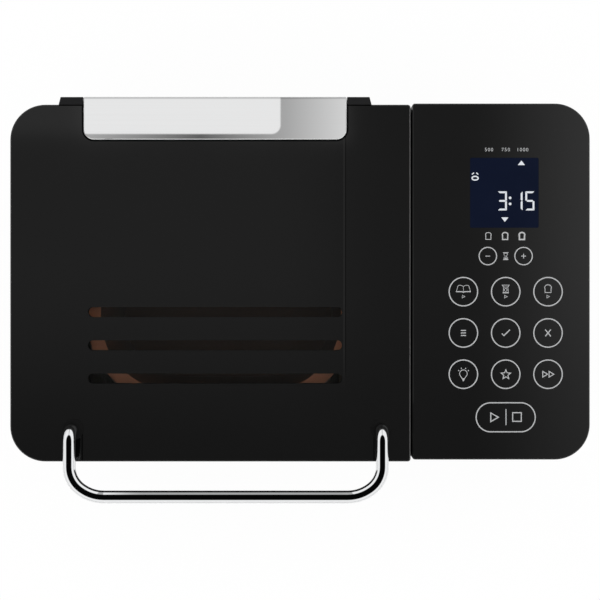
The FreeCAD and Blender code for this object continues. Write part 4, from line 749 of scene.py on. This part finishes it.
def polar(x, y, radius, angle):
    """A point round a middle, at an angle in degrees."""
    return x + radius * math.cos(math.radians(angle)), y + radius * math.sin(math.radians(angle))


def arc(x, y, radius, start, end, count):
    """Points along an arc, with angles in degrees."""
    return [polar(x, y, radius, start + (end - start) * index / (count - 1)) for index in range(count)]


def circle(x, y, radius, count):
    """Points round a whole circle."""
    return arc(x, y, radius, 0, 360 - 360 / count, count)


def flat_mark(name, x, y, loops, make=panel_ink, slot="gloss_black"):
    """A flat mark from its closed outlines, in millimetres. An outline inside another leaves a hole."""
    piece = begin(bpy.ops.curve.primitive_nurbs_path_add)
    curve = piece.data
    curve.splines.clear()
    curve.dimensions = "2D"
    curve.fill_mode = "BOTH"
    for loop in loops:
        spline = curve.splines.new("POLY")
        spline.points.add(len(loop) - 1)
        for point, place in zip(spline.points, loop):
            point.co = (place[0] * MM, place[1] * MM, 0, 1)
        spline.use_cyclic_u = True
    bpy.ops.object.convert(target="MESH")
    piece.location = (x, y, PRINT_HEIGHT)
    settle(piece, name, make)


def lit_mark(name, x, y, loops):
    """A lit mark of the display."""
    flat_mark(name, x, y, loops, display_light, "display_glass")


def key_place(settings, column, row):
    """Middle of a key, counted from the middle column and the first row."""
    return settings.column + column * settings.pitch, settings.first_row - row * settings.row_pitch


def digit_loops(settings, digit):
    """Outlines of the lit bars of a digit, in millimetres."""
    side, end, bar = (value / MM for value in (settings.half_width, settings.half_height, settings.bar))
    inner = side - bar
    half = bar / 2
    top = [(BAR_GAP - side, end), (side - BAR_GAP, end), (inner - BAR_GAP, end - bar),
           (BAR_GAP - inner, end - bar)]
    middle = [(BAR_GAP + half - side, 0), (BAR_GAP - inner, half), (inner - BAR_GAP, half),
              (side - half - BAR_GAP, 0), (inner - BAR_GAP, -half), (BAR_GAP - inner, -half)]
    upper = [(side, end - BAR_GAP), (side, BAR_GAP + BAR_TIP), (side - half, BAR_GAP),
             (inner, half + BAR_GAP), (inner, end - bar - BAR_GAP)]
    bars = {"top": top, "middle": middle, "right_upper": upper}
    bars["bottom"] = [(x, -y) for x, y in top]
    bars["right_lower"] = [(x, -y) for x, y in upper]
    bars["left_upper"] = [(-x, y) for x, y in upper]
    return [bars[segment] for segment in DIGIT_SEGMENTS[digit].split()]


class BREAD_OT_dress_case(Operator):
    """Finish the case, the oven in it and all that stands still"""

    bl_idname = "bread.dress_case"
    bl_label = "Finish the case"

    def execute(self, context):
        dress("case")
        return {"FINISHED"}


class BREAD_OT_dress_lid(Operator):
    """Finish the lid, its handle and the fruit dispenser in it"""

    bl_idname = "bread.dress_lid"
    bl_label = "Finish the lid"

    def execute(self, context):
        for body in ("lid", "dispenser_lid", "trap"):
            dress(body)
        return {"FINISHED"}


class BREAD_OT_dress_pan(Operator):
    """Finish the bread pan, its bail and the paddle"""

    bl_idname = "bread.dress_pan"
    bl_label = "Finish the pan"

    def execute(self, context):
        for body in ("pan", "bail", "paddle"):
            dress(body)
        return {"FINISHED"}


class BREAD_OT_dress_drive(Operator):
    """Finish the turning parts of the motor and the belt drive"""

    bl_idname = "bread.dress_drive"
    bl_label = "Finish the drive"

    def execute(self, context):
        for body in ("drive", "rotor"):
            dress(body)
        return {"FINISHED"}


class BREAD_OT_key_rings(Operator):
    """Print the rings of the nine keys, of minus and plus, and of the start key"""

    bl_idname = "bread.key_rings"
    bl_label = "Key rings"

    def execute(self, context):
        settings = context.scene.bread_machine.panel
        x, y = key_place(settings, -1, 0)
        first = ring("key_ring_1", x, y, settings.key_radius, settings.line)
        for index in range(1, KEY_COUNT):
            row, column = divmod(index, KEY_COLUMNS)
            copied(first, f"key_ring_{index + 1}", (column * settings.pitch, -row * settings.row_pitch, 0))
        minus = ring("adjust_ring_1", settings.column - settings.adjust_step / 2, settings.adjust_row,
                     settings.adjust_radius, ADJUST_FINENESS * settings.line)
        copied(minus, "adjust_ring_2", (settings.adjust_step, 0, 0))
        ring("start_ring", settings.column, settings.start_row, settings.start_radius, settings.line,
             settings.start_width / 2 - settings.start_radius)
        return {"FINISHED"}


class BREAD_OT_key_marks(Operator):
    """Print the marks inside the nine keys"""

    bl_idname = "bread.key_marks"
    bl_label = "Key marks"

    def execute(self, context):
        settings = context.scene.bread_machine.panel
        dial = [circle(0, DIAL_HEIGHT, radius, DOT_POINTS) for radius in DIAL_RADII]
        bulb = arc(0, BULB_HEIGHT, BULB_RADIUS, *BULB_ARC) + BULB_NECK
        rays = [circle(x, y, RAY_RADIUS, RAY_POINTS) for x, y in LAMP_RAYS]
        star = [polar(*STAR_MIDDLE, STAR_RADII[index % 2], 90 + 36 * index) for index in range(10)]
        wide, high = CROSS_STRETCH
        cross = [(wide * (x - y), high * (x + y)) for x, y in crossed(CROSS_REACH, CROSS_LINE)]
        marks = (
            ("recipe_mark", stroke_loops(RECIPE_STROKES)),
            ("scale_mark", stroke_loops(SCALE_STROKES) + dial),
            ("loaf_mark", stroke_loops(LOAF_STROKES)),
            ("list_mark", stroke_loops(LIST_STROKES)),
            ("tick_mark", stroke_loops(TICK_STROKES)),
            ("cross_mark", [cross]),
            ("light_mark", stroke_loops([(bulb, BULB_LINE, True)]) + [LAMP_TIP] + rays),
            ("star_mark", stroke_loops([(star, STAR_LINE, True)])),
            ("skip_mark", stroke_loops(SKIP_STROKES)),
        )
        for index, (name, loops) in enumerate(marks):
            row, column = divmod(index, KEY_COLUMNS)
            flat_mark(name, *key_place(settings, column - 1, row), loops)
        return {"FINISHED"}


class BREAD_OT_adjust_marks(Operator):
    """Print minus, plus, the timer between them and the start key's marks"""

    bl_idname = "bread.adjust_marks"
    bl_label = "Adjust and start marks"

    def execute(self, context):
        settings = context.scene.bread_machine.panel
        middle = settings.column
        half = settings.adjust_step / 2
        timer = stroke_loops(TIMER_STROKES) + [TIMER_SAND]
        flat_mark("minus_mark", middle - half, settings.adjust_row, stroke_loops(MINUS_STROKES))
        flat_mark("plus_mark", middle + half, settings.adjust_row, [crossed(PLUS_REACH, PLUS_LINE)])
        flat_mark("timer_mark", middle, settings.adjust_row, timer)
        flat_mark("start_mark", middle, settings.start_row, stroke_loops(START_STROKES))
        return {"FINISHED"}


class BREAD_OT_loaf_sizes(Operator):
    """Print the three loaf marks under the display and the plain numbers over it"""

    bl_idname = "bread.loaf_sizes"
    bl_label = "Loaf sizes"

    def execute(self, context):
        settings = context.scene.bread_machine.panel
        for index, line in enumerate(SIZE_LINES):
            x = settings.column - SIZE_SHIFT + (index - 1) * settings.size_step
            loops = stroke_loops([(SIZE_OUTLINE, line, True)])
            flat_mark(f"crust_mark_{index + 1}", x, settings.size_row, loops)
        for index, number in enumerate(LOAF_NUMBERS):
            piece = begin(bpy.ops.object.text_add)
            piece.data.body = number
            piece.data.size = settings.number_height
            piece.data.space_character = NUMBER_SPACING
            piece.data.align_x = "CENTER"
            piece.data.align_y = "CENTER"
            bpy.ops.object.convert(target="MESH")
            x = settings.column + (index - 1) * settings.size_step
            piece.location = (x, settings.number_row, PRINT_HEIGHT)
            settle(piece, f"loaf_number_{index + 1}", panel_ink)
        return {"FINISHED"}


class BREAD_OT_display_marks(Operator):
    """Light the time, the two pointers and the crust mark in the display"""

    bl_idname = "bread.display_marks"
    bl_label = "Display marks"

    def execute(self, context):
        settings = context.scene.bread_machine.display
        digits = (("hour_digit", "3", settings.hour), ("ten_minutes_digit", "1", settings.ten_minutes),
                  ("minutes_digit", "5", settings.minutes))
        for name, digit, x in digits:
            lit_mark(name, x, settings.digit_row, digit_loops(settings, digit))
        dots = [circle(0, y, COLON_RADIUS, DOT_POINTS) for y in (COLON_HEIGHT, -COLON_HEIGHT)]
        lit_mark("colon_dots", settings.colon, settings.digit_row, dots)
        lit_mark("upper_pointer", *UPPER_POINTER, [POINTER])
        lit_mark("lower_pointer", *LOWER_POINTER, [[(x, -y) for x, y in POINTER]])
        oval = [(x, CRUST_FLATNESS * y) for x, y in arc(0, 0, CRUST_RADIUS, *CRUST_ARC)]
        lit_mark("crust_display", *CRUST_PLACE, stroke_loops([(oval, CRUST_LINE, True)] + CRUST_STEAM))
        return {"FINISHED"}


def mirrored_ceiling(shader, side, far):
    """Level of the dim ceiling, brighter to the rear and on the right."""
    depth = shader.step(far, *CEILING_DEPTH) * (1 - 0.6 * shader.step(side, *CEILING_SIDE))
    pale = shader.step(side, *PALE_SIDE) * (0.5 + 0.5 * shader.step(far, *PALE_DEPTH))
    return 0.175 + 0.16 * depth + 0.58 * pale


def mirrored_cards(shader, side, far, ceiling):
    """The ceiling with a white card and a graded grey card before it, which the plate mirrors."""
    behind = 1 - shader.step(far, *CARD_REAR)
    past = shader.math("MAXIMUM", side - WHITE_CORNER[0], 0.0)
    short = shader.math("MAXIMUM", WHITE_CORNER[1] - far, 0.0)
    round_corner = 1 - shader.step(past * past + short * short, *WHITE_ROUND)
    white_card = behind * shader.step(side, *WHITE_LEFT) * round_corner
    grey_card = (behind * shader.step(side, *GREY_LEFT) * (1 - shader.step(side, *GREY_RIGHT))
                 * shader.step(far, *GREY_FRONT) * (1 - white_card))
    white = 0.60 + 0.25 * shader.step(side, *GREY_LEFT)
    along = (side - GREY_SPAN[0]) / (GREY_SPAN[1] - GREY_SPAN[0])
    grey = shader.split(shader.node("ShaderNodeValToRGB", {"stops": GREY_STOPS}, {0: along})[0])[0]
    return ceiling * (1 - white_card - grey_card) + white * white_card + grey * grey_card


def studio_world(scene):
    """Bright walls, a dim ceiling that glass mirrors, and the cards that the polished plate mirrors."""
    world = bpy.data.worlds.new("studio")
    scene.world = world
    shader = Shader(world)
    across, deep, up = shader.split(shader.node("ShaderNodeTexCoord")[GENERATED])
    rise = shader.math("MAXIMUM", up, LEAST_RISE)
    side = across / rise
    far = deep / rise
    path = shader.node("ShaderNodeLightPath")
    overhead = shader.step(up, *WALL_TOP)
    walls = (1 - overhead) * (1 - 0.85 * shader.step(path[GLOSSY_DEPTH], *LATER_BOUNCE))
    mirrored = mirrored_cards(shader, side, far, mirrored_ceiling(shader, side, far))
    level = 0.002 + mirrored * path[GLOSSY_RAY] * (1 - path[SINGULAR_RAY])
    rear = shader.step(deep, *REAR_DEPTH) * (1 - shader.step(abs(across - REAR_MIDDLE), *REAR_SIDE))
    sky = level * overhead + walls * (1 - 0.55 * rear)
    shown = path[CAMERA_RAY]
    background = shader.node("ShaderNodeBackground", None, {"Color": sky * (1 - shown) + shown})[0]
    shader.node("ShaderNodeOutputWorld", None, {"Surface": background})


def pale_floor(shader):
    """A pale floor that shows white, with a soft shadow left on it."""
    path = shader.node("ShaderNodeLightPath")
    seen = shader.math("MAXIMUM", path[CAMERA_RAY], 0.3 * path[GLOSSY_RAY])
    shown = shader.math("MAXIMUM", seen, path[TRANSMISSION_RAY])
    mottle = shader.noise(shader.place(), 3.0, 2.0)
    floor = shader.surface(
        base_color=shader.mix(mottle, (0.90, 0.90, 0.90), (0.93, 0.93, 0.93)), roughness=0.9)
    white = shader.node("ShaderNodeEmission", None, {"Color": (1, 1, 1, 1), "Strength": 1.0})[0]
    return shader.blend(FLOOR_WHITE * shown, floor, white)


class BREAD_OT_stage(Operator):
    """Set the floor, the light, the camera and the colour view"""

    bl_idname = "bread.stage"
    bl_label = "Stage"

    def execute(self, context):
        scene = context.scene
        settings = scene.bread_machine.stage
        floor = begin(bpy.ops.mesh.primitive_plane_add, size=settings.floor_size,
                      location=(0, 0, -FLOOR_GAP))
        floor.name = "floor"
        bpy.ops.object.transform_apply(location=True, rotation=True, scale=True)
        floor.data.materials.append(finish_named(pale_floor))
        studio_world(scene)
        lamp = begin(bpy.ops.object.light_add, type="AREA",
                     location=(0, settings.lamp_depth, settings.lamp_height))
        lamp.data.energy = settings.lamp_power
        lamp.data.size = settings.lamp_size
        lamp.visible_glossy = False
        lamp.visible_camera = False
        lamp.visible_transmission = False
        camera = begin(bpy.ops.object.camera_add, rotation=(0, 0, 0),
                       location=(0, settings.camera_depth, settings.camera_height))
        camera.data.sensor_width = SENSOR_WIDTH
        camera.data.lens = settings.lens
        camera.data.dof.use_dof = False
        scene.camera = camera
        scene.view_settings.view_transform = "Standard"
        return {"FINISHED"}


class BREAD_PT_machine(Panel):
    """The machine's pieces, in the order in which they are made"""

    bl_idname = "BREAD_PT_machine"
    bl_label = "Bread machine"
    bl_space_type = "VIEW_3D"
    bl_region_type = "UI"
    bl_category = "Bread machine"

    def draw(self, context):
        for operator in OPERATORS:
            self.layout.operator(operator.bl_idname)


OPERATORS = (
    BREAD_OT_stage, BREAD_OT_dress_case, BREAD_OT_dress_lid, BREAD_OT_dress_pan, BREAD_OT_dress_drive,
    BREAD_OT_key_rings, BREAD_OT_key_marks, BREAD_OT_adjust_marks, BREAD_OT_loaf_sizes,
    BREAD_OT_display_marks,
)
CLASSES = (PanelPrint, DisplayPrint, StageSettings, MachineSettings) + OPERATORS + (BREAD_PT_machine,)


def register():
    for item in CLASSES:
        bpy.utils.register_class(item)
    bpy.types.Scene.bread_machine = PointerProperty(type=MachineSettings)


def unregister():
    del bpy.types.Scene.bread_machine
    for item in reversed(CLASSES):
        bpy.utils.unregister_class(item)


def main():
    register()
    bpy.ops.bread.stage()
    bpy.ops.bread.dress_case()
    bpy.ops.bread.dress_lid()
    bpy.ops.bread.dress_pan()
    bpy.ops.bread.dress_drive()
    bpy.ops.bread.key_rings()
    bpy.ops.bread.key_marks()
    bpy.ops.bread.adjust_marks()
    bpy.ops.bread.loaf_sizes()
    bpy.ops.bread.display_marks()


if __name__ == "__main__":
    main()
